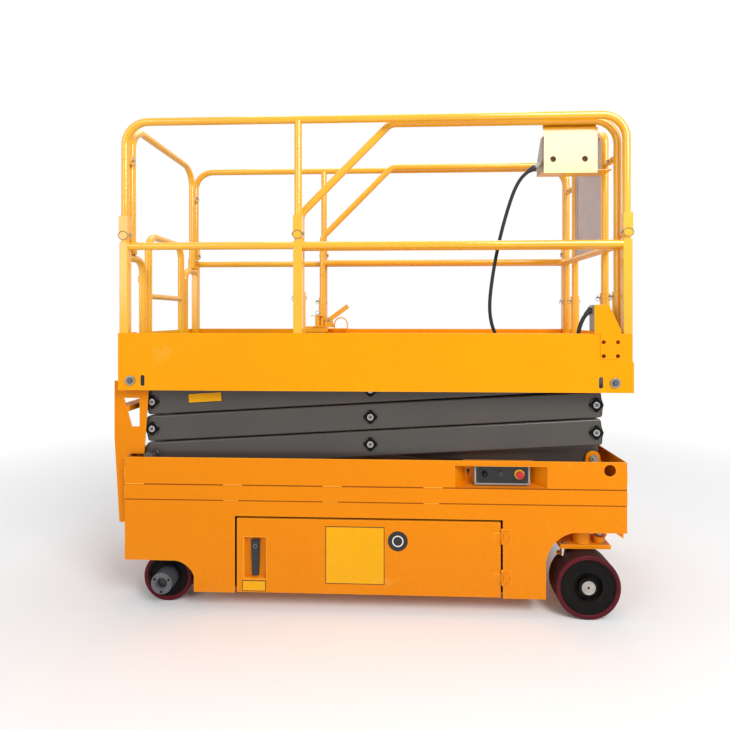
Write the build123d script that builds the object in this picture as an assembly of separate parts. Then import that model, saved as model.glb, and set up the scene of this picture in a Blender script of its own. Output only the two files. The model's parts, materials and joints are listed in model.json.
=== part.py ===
"""Narrow electric scissor lift with a sliding platform extension, in millimetres.

+X is the steered front, +Y the left side, +Z up. The floor is Z = 0, and the
origin is the middle of the lift's outline on the floor. The lift is stowed.
"""

import math
import os

from build123d import *

# Overall sizes
overall_length = 2314
platform_length = 2270
platform_width = 810

# Heights of the stack: its first fixed pin, the rise of each level, and the deck
base_pin_z = 676
level_rise = 123
levels = 3
top_pin_z = base_pin_z + levels * level_rise
deck_z = top_pin_z + 73
top_rail_z = deck_z + 1075
mid_rail_z = deck_z + 514

# Platform
front_x = overall_length / 2
rear_x = front_x - platform_length
middle_x = (front_x + rear_x) / 2
half_width = platform_width / 2
sheet = 3
deck_thickness = 4
toe_board_bottom_z = deck_z - 133
toe_board_top_z = deck_z + 123
end_bolt_z = deck_z - 89
frame_outer_y = half_width - sheet
tube_radius = 17
bend_radius = 105
small_bend_radius = 60
rail_y = frame_outer_y - tube_radius
sleeve_side = 40
sleeve_pin_head = 3
lower_post_side = 40
lower_post_corner = 5
post_inset = sleeve_side / 2 + sleeve_pin_head
rear_post_x = rear_x + post_inset
front_post_x = front_x - post_inset
middle_post_x = rear_x + 810
rail_split_z = deck_z + 582
sleeve_bottom_z = rail_split_z - 44
sleeve_top_z = rail_split_z + 65
end_beam = 40
frame_rear_x = rear_x + sheet + end_beam
frame_front_x = front_x - sheet - end_beam
frame_top_z = deck_z - deck_thickness
lug_thickness = 12
lug_radius = 32
rib_y = 120
running_gap = 0.3
moving_gap = 6

# Extension deck, pushed in between the main guardrails
extension_rail_y = rail_y - 60
extension_front_x = front_post_x - 12
extension_deck_thickness = 4
slide_gap = 3
extension_deck_bottom_z = deck_z + slide_gap
extension_deck_z = extension_deck_bottom_z + extension_deck_thickness
diagonal_start_z = top_rail_z - 410
diagonal_run = top_rail_z - diagonal_start_z
front_leg_y = 193
link_z = top_rail_z - 163
socket_radius = 22
socket_top_z = deck_z + 307
extension_deck_rear_x = middle_post_x - 24
extension_deck_front_x = extension_front_x + socket_radius + 2
extension_side_y = extension_rail_y + socket_radius

# Entry gate
jamb_y = 234
gate_leg_y = 181
gate_top_z = deck_z + 597
gate_rung_z = deck_z + 297
jamb_top_z = deck_z + 467
rear_leg_y = 330
gate_hinge_y = (jamb_y + gate_leg_y) / 2
gate_knuckle_radius = (jamb_y - gate_leg_y) / 2 - tube_radius
gate_hinge_zs = (deck_z + 82, deck_z + 362)

# Outlet on the platform
bracket_hole_radius = 9
bracket_middle_x = front_x - 99
bracket_middle_z = deck_z + 56
bracket_top_z = deck_z + 248
bracket_spacing = 60
bracket_hole_xs = (bracket_middle_x - bracket_spacing / 2, bracket_middle_x + bracket_spacing / 2)
bracket_hole_zs = (bracket_middle_z - bracket_spacing / 2, bracket_middle_z + bracket_spacing / 2)
outlet_box_rear_x = bracket_middle_x - 71
outlet_box_length = 65
outlet_box_depth = 52
outlet_cable_radius = 8.5

# Control console
console_rear_x = 797
console_front_x = 1035
console_shelf_front_x = 1100
console_bottom_z = top_rail_z - 218
console_top_z = top_rail_z - 31

# Cables. The points of each route are chosen by hand, along the cable's middle.
outlet_cable_points = [
    (980, -374, 1340), (960, -374, 1320), (946, -375, 1294), (935, -374, 1262),
    (929, -373, 1222), (929, -374, 1182), (929, -374, 1145),
]
console_cable_radius = 8
console_cable_points = [
    (756, -290, 1990), (716, -290, 1966), (676, -291, 1902), (645, -290, 1810), (616, -288, 1705),
    (592, -289, 1597), (572, -290, 1480), (560, -291, 1370), (567, -290, 1290), (590, -290, 1228),
    (612, -290, 1184), (612, -290, 1140),
]

# Chassis
chassis_length = 2226
chassis_width = 780
chassis_front_x = middle_x + chassis_length / 2
chassis_rear_x = middle_x - chassis_length / 2
side_y = chassis_width / 2
plate = 6
well_floor_z = 563
side_top_z = 682
band_bottom_z = 491
band_depth = 50
skirt_bottom_z = 80
skirt_plate = 5
rear_skirt_z = 218
rear_arch_curve_x = middle_x - 880
rear_arch_x = middle_x - 796
rear_arch_side_z = 152
front_arch_x = middle_x + 765
front_arch_flat_x = middle_x + 885
front_arch_side_z = 235
front_arch_z = 373

# Doors and ground controls
door_rear_x = middle_x - 600
door_front_x = middle_x + 569
door_bottom_z = 84
door_top_z = 413
door_gap = 10
door_depth = 25
hinge_x = door_front_x + door_gap / 2
hinge_y = side_y + 5
hinge_knuckle_radius = 5
hinge_zs = (173, 353)
handle_recess_x = middle_x - 518
handle_recess_width = 103
handle_recess_bottom_z = 142
handle_recess_top_z = 332
bay_rear_x = middle_x + 369
bay_front_x = middle_x + 772
bay_top_z = 658
bay_depth = 70
bay_slope = 55
panel_width = 243
panel_bottom_z = 569
panel_middle_x = middle_x + 581
tie_down_x = middle_x + 1040
tie_down_z = 645
tie_down_radius = 25.5

# Wheels and steering
wheelbase = 1890
front_axle_x = middle_x + 945
rear_axle_x = front_axle_x - wheelbase
front_wheel_radius = 139
front_wheel_width = 110
front_wheel_outer_y = 400
rear_wheel_radius = 112
rear_wheel_width = 96
rear_wheel_outer_y = 328
tyre_thickness = 20
kingpin_y = 310
kingpin_radius = 25
kingpin_tube_radius = 37.5
steer_plate_z = 285
steer_plate_thickness = 18
steer_plate_outer_y = 350
tie_pin_offset = 79
tie_crank = 45

# Scissor stack
pin_span = 2010
arm_height = 117
arm_width = 40
arm_wall = 5
arm_end = 28
arm_corner = 14
boss_radius = 30
boss_height = 6
fixed_pin_x = middle_x + 1000
sliding_pin_x = fixed_pin_x - pin_span
outer_arm_y = 338
arm_gap = 8
inner_arm_y = outer_arm_y - arm_width - arm_gap
pin_radius = 15
roller_radius = 24
roller_inner_y = outer_arm_y + 22
roller_width = 22
cross_tube_radius = 30
stowed_angle = math.degrees(math.atan2(level_rise, pin_span))
arm_length = math.hypot(level_rise, pin_span)

# Lift cylinder, from the first to the second pair of inner arms
cylinder_base_share = 0.85
cylinder_base_drop = 45
cylinder_rod_share = 0.4
cylinder_rod_rise = 45
barrel_radius = 42
barrel_start = 92
piston_rod_radius = 25
eye_radius = 36
eye_width = 60
eye_pin_radius = 18
ear_thickness = 14
ear_gap = 2
ear_reach = 0.07


# Shapes that more than one piece uses

def block(x0, x1, y0, y1, z0, z1):
    middle = Pos((x0 + x1) / 2, (y0 + y1) / 2, (z0 + z1) / 2)
    return middle * Box(abs(x1 - x0), abs(y1 - y0), abs(z1 - z0))


def rod_x(x0, x1, y, z, radius):
    return Pos((x0 + x1) / 2, y, z) * Rotation(0, 90, 0) * Cylinder(radius, abs(x1 - x0))


def rod_y(x, y0, y1, z, radius):
    return Pos(x, (y0 + y1) / 2, z) * Rotation(90, 0, 0) * Cylinder(radius, abs(y1 - y0))


def rod_z(x, y, z0, z1, radius):
    return Pos(x, y, (z0 + z1) / 2) * Cylinder(radius, abs(z1 - z0))


def tube(points, bends=None, radius=tube_radius):
    """A round tube along straight runs, with its corners bent to given radii."""
    path = Line(*points) if len(points) == 2 else FilletPolyline(*points, radius=bends)
    section = Plane(origin=path @ 0, z_dir=path % 0) * Circle(radius)
    return sweep(section, path=path)


def upright(face, y0, y1):
    """A face drawn in X and Z, made into a plate from y0 to y1."""
    return extrude(Plane(origin=(0, y0, 0), x_dir=(1, 0, 0), z_dir=(0, -1, 0)) * face, amount=y0 - y1)


def side_plate(points, y0, y1):
    return upright(make_face(Polyline(*points, close=True)), y0, y1)


def twin(shape, side):
    """What is modelled on the left side (+Y), or its mirror image on the right."""
    return shape if side > 0 else mirror(shape, about=Plane.XZ)


def pair(shape):
    return [shape, twin(shape, -1)]


def joined(shapes):
    whole = shapes[0]
    for shape in shapes[1:]:
        whole += shape
    return whole


# Chassis

def make_chassis_frame():
    """Side bands, well floor, end walls, upper side walls, roller tracks and control bay."""
    band_inner_y = side_y - band_depth
    track_top_z = base_pin_z - roller_radius - running_gap
    track_inner_y = roller_inner_y - 4
    band = block(chassis_rear_x, chassis_front_x, band_inner_y, side_y, band_bottom_z, well_floor_z)
    band -= block(chassis_rear_x + plate, chassis_front_x - plate, band_inner_y + plate, side_y - plate,
                  band_bottom_z + plate, well_floor_z - plate)
    wall = block(chassis_rear_x, chassis_front_x, side_y - plate, side_y, well_floor_z, side_top_z)
    track_x = sliding_pin_x - 50
    track = block(track_x, middle_x, track_inner_y, side_y - plate, track_top_z - plate, track_top_z)
    track += block(track_x, middle_x, track_inner_y, track_inner_y + plate,
                   well_floor_z, track_top_z - plate)
    parts = [block(chassis_rear_x, chassis_front_x, -band_inner_y, band_inner_y,
                   well_floor_z - plate, well_floor_z)]
    for shape in (band, wall, track):
        parts += pair(shape)
    for x, low_z in ((chassis_rear_x, rear_skirt_z), (chassis_front_x - plate, front_arch_z)):
        parts.append(block(x, x + plate, -side_y, side_y, band_bottom_z, side_top_z))
        parts.append(block(x, x + plate, -side_y + skirt_plate, side_y - skirt_plate, low_z, band_bottom_z))
    for x in (rear_arch_x, front_arch_x - plate):
        parts.append(block(x, x + plate, -side_y + skirt_plate, side_y - skirt_plate,
                           skirt_bottom_z, band_bottom_z))
        parts.append(block(x, x + plate, -band_inner_y, band_inner_y, band_bottom_z, well_floor_z - plate))
    frame = joined(parts)
    frame -= block(bay_rear_x, bay_front_x, -side_y - 1, -side_y + plate, well_floor_z, bay_top_z)
    frame -= rod_y(tie_down_x, -side_y - 1, side_y + 1, tie_down_z, tie_down_radius)
    face_y = -side_y + plate
    back_y = face_y + bay_depth
    outer = [(bay_rear_x - plate, face_y), (bay_rear_x + bay_slope - plate, back_y + plate),
             (bay_front_x - bay_slope + plate, back_y + plate), (bay_front_x + plate, face_y)]
    inner = [(bay_rear_x, face_y), (bay_rear_x + bay_slope, back_y),
             (bay_front_x - bay_slope, back_y), (bay_front_x, face_y)]
    outer_shape = extrude(make_face(Polyline(*outer, close=True)), amount=bay_top_z + plate - well_floor_z)
    inner_shape = extrude(make_face(Polyline(*inner, close=True)), amount=bay_top_z - well_floor_z)
    recess = Pos(0, 0, well_floor_z) * (outer_shape - inner_shape)
    return frame + recess


def skirt_face():
    """The lower side panel, with the front wheel arch and the raised rear end."""
    low_edge = Polyline((rear_arch_x, rear_arch_side_z), (rear_arch_x, skirt_bottom_z),
                        (front_arch_x, skirt_bottom_z), (front_arch_x, front_arch_side_z))
    front_arch = ThreePointArc((front_arch_x, front_arch_side_z),
                               (middle_x + 801, front_arch_side_z + 89), (front_arch_flat_x, front_arch_z))
    top_edge = Polyline((front_arch_flat_x, front_arch_z), (chassis_front_x, front_arch_z),
                        (chassis_front_x, band_bottom_z), (chassis_rear_x, band_bottom_z),
                        (chassis_rear_x, rear_skirt_z), (rear_arch_curve_x, rear_skirt_z))
    rear_arch = ThreePointArc((rear_arch_curve_x, rear_skirt_z),
                              (middle_x - 829, rear_skirt_z - 22), (rear_arch_x, rear_arch_side_z))
    return make_face(low_edge + front_arch + top_edge + rear_arch)


def make_side_skirts():
    skirt = upright(skirt_face(), side_y - skirt_plate, side_y)
    skirt -= block(door_rear_x - door_gap, door_front_x + door_gap, side_y - 2 * skirt_plate, side_y + 1,
                   skirt_bottom_z - 1, door_top_z + door_gap)
    return pair(skirt)


def make_underbody_tray():
    """The tray that carries the batteries and the pump, with a middle wall."""
    tray = block(rear_arch_x + plate, front_arch_x - plate, -side_y + 40, side_y - 40,
                 skirt_bottom_z, skirt_bottom_z + plate)
    tray += block(rear_arch_x + plate, front_arch_x - plate, -plate / 2, plate / 2,
                  skirt_bottom_z + plate, well_floor_z - plate)
    return tray


def make_rear_ladder():
    """Two side plates with hand holes, and three steps behind the chassis."""
    inner_y = roller_inner_y - 8
    back_x = -front_x
    tongue_x = rear_x - 5
    top_z = toe_board_bottom_z - 5
    outline = [(back_x + 23, 374), (chassis_rear_x, 374), (chassis_rear_x, side_top_z + 6),
               (middle_x - 1040, side_top_z + 6), (middle_x - 1020, top_z), (tongue_x, top_z),
               (tongue_x, 1021), (back_x, 1021), (back_x, 760)]
    hole = [(back_x + 44, 942), (middle_x - 1062, 942), (middle_x - 1062, 812), (middle_x - 1098, 812)]
    cheek = side_plate(outline, inner_y, inner_y + plate)
    cheek -= side_plate(hole, inner_y - 1, inner_y + plate + 1)
    parts = pair(cheek)
    for step_z in (400, 640, 880):
        step_back_x = back_x + 24 if step_z < 700 else back_x + 4
        parts.append(block(step_back_x, chassis_rear_x, -inner_y, inner_y, step_z, step_z + 25))
    return joined(parts)


def make_rear_axle():
    """A square beam between the rear wheels, hung from the floor by two plates."""
    beam_y = rear_wheel_outer_y - rear_wheel_width - 12
    beam = block(rear_axle_x - 30, rear_axle_x + 30, -beam_y, beam_y, rear_wheel_radius - 30,
                 rear_wheel_radius + 30)
    parts = [beam]
    for side in (-1, 1):
        parts.append(twin(block(rear_axle_x - 55, rear_axle_x + 55, beam_y - 50, beam_y - 38,
                                rear_wheel_radius - 30, well_floor_z - plate), side))
        parts.append(twin(rod_y(rear_axle_x, beam_y, rear_wheel_outer_y - 10, rear_wheel_radius, 20), side))
    return joined(parts)


def make_front_axle_beam():
    """The plate over the front wheels, its kingpin tubes and front gussets."""
    tube_bottom_z = steer_plate_z + steer_plate_thickness + 1
    parts = [block(front_arch_x + plate, chassis_front_x - plate, -side_y + skirt_plate, side_y - skirt_plate,
                   front_arch_z, front_arch_z + 10)]
    for side in (-1, 1):
        kingpin_tube = rod_z(front_axle_x, kingpin_y, tube_bottom_z, front_arch_z, kingpin_tube_radius)
        gusset = side_plate([(chassis_front_x - 50, front_arch_z), (chassis_front_x - 10, front_arch_z),
                             (chassis_front_x - 10, front_arch_z - 28)], side_y - 20, side_y - 12)
        parts += [twin(kingpin_tube, side), twin(gusset, side)]
    beam = joined(parts)
    for side in (-1, 1):
        beam -= twin(rod_z(front_axle_x, kingpin_y, tube_bottom_z - 1, front_arch_z + 20,
                           kingpin_radius + running_gap), side)
    return beam


def make_base_brackets():
    """Four ears and two pins that hold the fixed ends of the first inner arms."""
    ear = side_plate([(fixed_pin_x - 50, well_floor_z), (fixed_pin_x + 50, well_floor_z),
                      (fixed_pin_x + 32, base_pin_z), (fixed_pin_x - 32, base_pin_z)], 0, 12)
    ear += rod_y(fixed_pin_x, 0, 12, base_pin_z, 32)
    outer = Pos(0, inner_arm_y + moving_gap, 0) * ear
    inner = Pos(0, inner_arm_y - arm_width - moving_gap - 12, 0) * ear
    pin = rod_y(fixed_pin_x, inner_arm_y - arm_width - moving_gap - 18, inner_arm_y + moving_gap + 18,
                base_pin_z, pin_radius)
    return pair(outer + inner + pin)


def make_battery_pack():
    return block(middle_x - 520, middle_x + 60, -side_y + 60, -50, skirt_bottom_z + plate, 370)


def make_hydraulic_unit():
    return block(middle_x - 380, middle_x + 160, 60, side_y - 70, skirt_bottom_z + plate, 330)


def make_ground_control_panel():
    """The switch box in the side recess, with its stop button and two switches."""
    face_y = -side_y + 26
    box = block(panel_middle_x - panel_width / 2, panel_middle_x + panel_width / 2, face_y,
                -side_y + plate + bay_depth, panel_bottom_z, bay_top_z - 2)
    button_z = panel_bottom_z + 48
    box += rod_y(panel_middle_x + 75, face_y - 14, face_y, button_z, 11)
    box += rod_y(panel_middle_x + 75, face_y - 26, face_y - 14, button_z, 20)
    for offset in (-77, -6):
        box += rod_y(panel_middle_x + offset, face_y - 16, face_y, button_z, 12)
    return box


# Doors

def make_door(side):
    """A sheet door with folded edges, a handle recess and its two hinge leaves."""
    outer = block(door_rear_x, door_front_x, side_y - door_depth, side_y, door_bottom_z, door_top_z)
    inner = block(door_rear_x + sheet, door_front_x - sheet, side_y - door_depth - 1, side_y - sheet,
                  door_bottom_z + sheet, door_top_z - sheet)
    door = outer - inner
    x0 = handle_recess_x - handle_recess_width / 2
    x1 = handle_recess_x + handle_recess_width / 2
    pocket = block(x0 - sheet, x1 + sheet, side_y - door_depth, side_y - sheet,
                   handle_recess_bottom_z - sheet, handle_recess_top_z + sheet)
    hollow = block(x0, x1, side_y - door_depth + sheet, side_y + 1,
                   handle_recess_bottom_z, handle_recess_top_z)
    door = (door + pocket) - hollow
    for z in hinge_zs:
        leaf = block(door_front_x - 30, hinge_x, side_y, side_y + 3, z - 15, z + 15)
        knuckle = rod_z(hinge_x, hinge_y, z - 15, z + 15, hinge_knuckle_radius)
        door += leaf + knuckle
        door -= rod_z(hinge_x, hinge_y, z - 16, z + 16, 2.5 + running_gap)
    return twin(door, side)


def make_door_handle(side):
    """A tapered paddle handle on a short boss at the bottom of its recess."""
    back_y = side_y - door_depth + sheet
    middle_z = (handle_recess_bottom_z + handle_recess_top_z) / 2
    paddle = side_plate([(handle_recess_x - 20, middle_z + 80), (handle_recess_x + 20, middle_z + 80),
                         (handle_recess_x + 14, middle_z - 80), (handle_recess_x - 14, middle_z - 80)],
                        back_y + 8, back_y + 20)
    return twin(paddle + rod_y(handle_recess_x, back_y, back_y + 8, middle_z + 50, 14), side)


def make_door_hinges():
    """Hinge plates on the skirts, with pins that the door knuckles turn on."""
    parts = []
    for side in (-1, 1):
        for z in hinge_zs:
            leaf = block(hinge_x + 7, hinge_x + 42, side_y, side_y + 3, z - 32, z + 32)
            for z0 in (z - 32, z + 16):
                leaf += block(hinge_x, hinge_x + 8, side_y, side_y + 3, z0, z0 + 16)
                leaf += rod_z(hinge_x, hinge_y, z0, z0 + 16, hinge_knuckle_radius)
            leaf += rod_z(hinge_x, hinge_y, z - 32, z + 32, 2.5)
            parts.append(twin(leaf, side))
    return parts


# Wheels and steering

def make_tyre(x, radius, outer_y, width, side):
    ring = rod_y(x, outer_y - width, outer_y, radius, radius)
    ring -= rod_y(x, outer_y - width - 1, outer_y + 1, radius, radius - tyre_thickness)
    ring = fillet(ring.edges().filter_by(GeomType.CIRCLE).group_by(SortBy.LENGTH)[-1], 6)
    return twin(ring, side)


def make_front_hub(side):
    """A dished drive wheel centre with a cap, bored for its axle."""
    rim = front_wheel_radius - tyre_thickness
    outer_y = front_wheel_outer_y - 4
    inner_y = front_wheel_outer_y - front_wheel_width + 4
    hub = rod_y(front_axle_x, inner_y, outer_y, front_wheel_radius, rim)
    hub -= rod_y(front_axle_x, outer_y - 26, outer_y + 1, front_wheel_radius, 62)
    hub += rod_y(front_axle_x, outer_y - 27, outer_y - 2, front_wheel_radius, 31)
    hub -= rod_y(front_axle_x, inner_y - 1, outer_y - 30, front_wheel_radius, 20 + running_gap)
    return twin(hub, side)


def make_rear_hub(side):
    """A plain wheel centre with a hub flange that stands out to the chassis side."""
    rim = rear_wheel_radius - tyre_thickness
    inner_y = rear_wheel_outer_y - rear_wheel_width
    hub = rod_y(rear_axle_x, inner_y + 4, rear_wheel_outer_y - 6, rear_wheel_radius, rim)
    hub += rod_y(rear_axle_x, rear_wheel_outer_y - 6, side_y - 2, rear_wheel_radius, 48)
    hub -= rod_y(rear_axle_x, side_y - 22, side_y, rear_wheel_radius, 23.5)
    hub -= rod_y(rear_axle_x, inner_y, rear_wheel_outer_y - 10 + running_gap, rear_wheel_radius,
                 20 + running_gap)
    return twin(hub, side)


def make_knuckle(side):
    """The steering plate, kingpin, upright and axle stub of a front wheel."""
    wheel_inner_y = front_wheel_outer_y - front_wheel_width
    plate_top_z = steer_plate_z + steer_plate_thickness
    knuckle = block(front_axle_x - 105, front_axle_x + 116, wheel_inner_y - 60, steer_plate_outer_y,
                    steer_plate_z, plate_top_z)
    knuckle += rod_z(front_axle_x, kingpin_y, plate_top_z, front_arch_z + 8, kingpin_radius)
    knuckle += block(front_axle_x - 60, front_axle_x + 60, wheel_inner_y - 20, wheel_inner_y - 8,
                     front_wheel_radius - 60, steer_plate_z)
    knuckle += rod_y(front_axle_x, wheel_inner_y - 20, front_wheel_outer_y - 34 - running_gap,
                     front_wheel_radius, 20)
    knuckle += rod_z(front_axle_x + tie_pin_offset, kingpin_y, plate_top_z, plate_top_z + 30, 11)
    return twin(knuckle, side)


def make_drive_motor(side):
    motor_face_y = front_wheel_outer_y - front_wheel_width - 20
    motor = rod_y(front_axle_x, motor_face_y - 30, motor_face_y, front_wheel_radius, 62)
    motor += rod_y(front_axle_x, motor_face_y - 105, motor_face_y - 30, front_wheel_radius, 48)
    return twin(motor, side)


def make_tie_rod():
    """A cranked bar with an eye at each steering pin."""
    bar_z = steer_plate_z + steer_plate_thickness + 14
    pin_x = front_axle_x + tie_pin_offset
    turn_y = kingpin_y - tie_crank
    bar = tube([(pin_x, -kingpin_y, bar_z), (pin_x + tie_crank, -turn_y, bar_z),
                (pin_x + tie_crank, turn_y, bar_z), (pin_x, kingpin_y, bar_z)], 30, 11)
    for side in (-1, 1):
        bar += rod_z(pin_x, side * kingpin_y, bar_z - 13, bar_z + 13, 26)
    for side in (-1, 1):
        bar -= rod_z(pin_x, side * kingpin_y, bar_z - 20, bar_z + 20, 11 + running_gap)
    return bar


# Scissor arms

def arm_tilt(outer):
    """The turn about Y that lays an arm drawn along X onto its two end pins."""
    return -stowed_angle if outer else stowed_angle


def pin_z(level, share, outer):
    """Height of a point on an arm, a share of the way from its front end to its rear end."""
    low = base_pin_z + (level - 1) * level_rise
    return low + level_rise * ((1 - share) if outer else share)


def pin_x(share):
    return fixed_pin_x - pin_span * share


def arm_tube(outer_y):
    """A closed box tube drawn along X about its middle pin, bored for its three pins."""
    reach = arm_length / 2 + arm_end
    section = RectangleRounded(2 * reach, arm_height, arm_corner)
    arm = upright(section, outer_y - arm_width, outer_y)
    arm -= block(-reach + 45, reach - 45, outer_y - arm_width + arm_wall, outer_y - arm_wall,
                 -arm_height / 2 + arm_wall, arm_height / 2 - arm_wall)
    return arm


def placed_arm(shape, level, outer):
    middle = Pos(pin_x(0.5), 0, pin_z(level, 0.5, outer))
    return middle * Rotation(0, arm_tilt(outer), 0) * shape


def make_outer_arms(level):
    """A pair of outer arms with their bosses, pins and, at the first level, floor rollers."""
    bores = [-arm_length / 2, 0, arm_length / 2]
    arm = arm_tube(outer_arm_y)
    for x in bores:
        arm += rod_y(x, outer_arm_y, outer_arm_y + boss_height, 0, boss_radius)
        arm += rod_y(x, inner_arm_y - arm_width - 4, outer_arm_y + boss_height + 2, 0, pin_radius)
    parts = pair(arm)
    if level == 1:
        rear = -arm_length / 2
        axle = rod_y(rear, inner_arm_y - arm_width, roller_inner_y, 0, pin_radius)
        roller = rod_y(rear, roller_inner_y, roller_inner_y + roller_width, 0, roller_radius)
        parts = pair(arm + axle + roller)
        parts.append(rod_y(rear, -inner_arm_y + arm_width, inner_arm_y - arm_width, 0, cross_tube_radius))
    else:
        front = arm_length / 2
        parts.append(rod_y(front, -inner_arm_y + arm_width + 4, inner_arm_y - arm_width - 4, 0, pin_radius))
    return placed_arm(joined(parts), level, True)


def make_inner_arms(level):
    """A pair of inner arms joined by cross tubes and bored for the outer arms' pins."""
    arm = arm_tube(inner_arm_y)
    parts = pair(arm)
    inner_y = inner_arm_y - arm_width
    for x in (-arm_length * 0.42, arm_length * 0.38):
        parts.append(rod_y(x, -inner_y, inner_y, 0, cross_tube_radius))
    arms = joined(parts)
    bores = [-arm_length / 2, 0, arm_length / 2]
    if level == levels:
        rear = bores.pop(0)
        axle = rod_y(rear, inner_y, roller_inner_y, 0, pin_radius)
        roller = rod_y(rear, roller_inner_y, roller_inner_y + roller_width, 0, roller_radius)
        for shape in pair(axle + roller):
            arms += shape
    for x in bores:
        arms -= rod_y(x, inner_y - 1, inner_arm_y + 1, 0, pin_radius + running_gap)
        arms -= rod_y(x, -inner_arm_y - 1, -inner_y + 1, 0, pin_radius + running_gap)
    arms = placed_arm(arms, level, False)
    return arms + make_cylinder_ears(level) if level < levels else arms


# Lift cylinder

def arm_point(level, share, rise):
    """A point beside an inner arm: a share of its length back, and a rise square to it."""
    tilt = math.radians(stowed_angle)
    return (pin_x(share) + rise * math.sin(tilt), pin_z(level, share, False) + rise * math.cos(tilt))


cylinder_base = arm_point(1, cylinder_base_share, -cylinder_base_drop)
cylinder_top = arm_point(2, cylinder_rod_share, cylinder_rod_rise)
cylinder_length = math.dist(cylinder_base, cylinder_top)
cylinder_rise = cylinder_top[1] - cylinder_base[1]
cylinder_tilt = math.degrees(math.asin(cylinder_rise / cylinder_length))
barrel_end = cylinder_length - eye_radius - 24


def make_cylinder_ears(level):
    """A cross tube with two ears that reach to one end of the lift cylinder."""
    if level == 1:
        share, point = cylinder_base_share + ear_reach, cylinder_base
    else:
        share, point = cylinder_rod_share - ear_reach, cylinder_top
    tube_x, tube_z = pin_x(share), pin_z(level, share, False)
    inner_y = inner_arm_y - arm_width
    ears = rod_y(tube_x, -inner_y, inner_y, tube_z, cross_tube_radius)
    reach = math.dist((tube_x, tube_z), point)
    turn = math.degrees(math.atan2(point[1] - tube_z, point[0] - tube_x))
    y0 = eye_width / 2 + ear_gap
    outline = RectangleRounded(reach + 2 * eye_radius, 2 * eye_radius, eye_radius - 1)
    ear = upright(outline, y0, y0 + ear_thickness)
    ear = Pos(tube_x, 0, tube_z) * Rotation(0, -turn, 0) * Pos(reach / 2, 0, 0) * ear
    for shape in pair(ear):
        ears += shape
    if level == 1:
        y1 = y0 + ear_thickness + 6
        ears += rod_y(point[0], -y1, y1, point[1], eye_pin_radius)
    return ears


def placed_cylinder(shape):
    return Pos(cylinder_base[0], 0, cylinder_base[1]) * Rotation(0, -cylinder_tilt, 0) * shape


def make_lift_cylinder_barrel():
    barrel = rod_x(barrel_start, barrel_end, 0, 0, barrel_radius)
    barrel += block(0, barrel_start, -eye_width / 2, eye_width / 2, -eye_radius + 4, eye_radius - 4)
    barrel += rod_y(0, -eye_width / 2, eye_width / 2, 0, eye_radius)
    barrel += rod_x(barrel_end - 40, barrel_end, 0, 0, barrel_radius + 5)
    barrel -= rod_y(0, -eye_width / 2 - 1, eye_width / 2 + 1, 0, eye_pin_radius + running_gap)
    barrel -= rod_x(barrel_end - 400, barrel_end + 1, 0, 0, piston_rod_radius + running_gap)
    return placed_cylinder(barrel)


def make_lift_cylinder_rod():
    rod = rod_x(barrel_end - 330, cylinder_length - eye_radius + 8, 0, 0, piston_rod_radius)
    rod += rod_y(cylinder_length, -eye_width / 2, eye_width / 2, 0, eye_radius)
    return placed_cylinder(rod)


# Platform

def top_lug(y, top_z):
    """One lug for a top pin, from its inner face at y up to the frame."""
    x = fixed_pin_x
    lug = block(x - lug_radius, x + lug_radius, y, y + lug_thickness, top_pin_z, top_z)
    lug += rod_y(x, y, y + lug_thickness, top_pin_z, lug_radius)
    return lug - rod_y(x, y - 1, y + lug_thickness + 1, top_pin_z, pin_radius + running_gap)


def make_platform_frame():
    """Two long ribs under the deck, the cross plate at the front, and the lugs for the top pins."""
    rib = block(frame_rear_x, frame_front_x, rib_y, rib_y + plate, frame_top_z - 30, frame_top_z)
    outer_y = outer_arm_y + boss_height + moving_gap + 2
    inner_y = outer_arm_y - arm_width - moving_gap - lug_thickness
    cross_y = inner_y + lug_thickness
    parts = pair(rib) + pair(top_lug(inner_y, frame_top_z))
    parts.append(block(fixed_pin_x - lug_radius, fixed_pin_x + lug_radius, -cross_y, cross_y,
                       frame_top_z - plate, frame_top_z))
    parts += pair(top_lug(outer_y, frame_top_z - plate))
    return joined(parts)


def make_platform_side_plates():
    """The tall plates behind the toe boards, one on each side."""
    low_z = top_pin_z - roller_radius - running_gap - plate
    return pair(block(frame_rear_x, frame_front_x, frame_outer_y - plate, frame_outer_y, low_z, frame_top_z))


def make_platform_side_flanges():
    """On each side plate, the flange under the deck and the two that the top rollers run between."""
    roller_top_z = top_pin_z + roller_radius + running_gap
    roller_low_z = top_pin_z - roller_radius - running_gap
    inner_y = roller_inner_y - 2
    outer_y = frame_outer_y - plate
    flanges = pair(block(frame_rear_x, frame_front_x, inner_y, outer_y, frame_top_z - plate, frame_top_z))
    flanges += pair(block(frame_rear_x, middle_x, inner_y, outer_y, roller_top_z, roller_top_z + plate))
    flanges += pair(block(frame_rear_x, middle_x, inner_y, outer_y, roller_low_z - plate, roller_low_z))
    return flanges


def make_platform_end_beams():
    """The hollow cross beams at the platform's two ends."""
    low_z = toe_board_bottom_z + 15
    beams = []
    for x in (frame_rear_x - end_beam, frame_front_x):
        beam = block(x, x + end_beam, -frame_outer_y, frame_outer_y, low_z, frame_top_z)
        wall = 4
        beam -= block(x + wall, x + end_beam - wall, wall - frame_outer_y, frame_outer_y - wall,
                      low_z + wall, frame_top_z - wall)
        beams.append(beam)
    return beams


def make_deck_plate():
    deck = block(rear_x + sheet, front_x - sheet, -frame_outer_y, frame_outer_y,
                 deck_z - deck_thickness, deck_z)
    last, before_last = outlet_cable_points[-1], outlet_cable_points[-2]
    return deck + gland(last, before_last, outlet_cable_radius, last[2] - deck_z)


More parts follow.
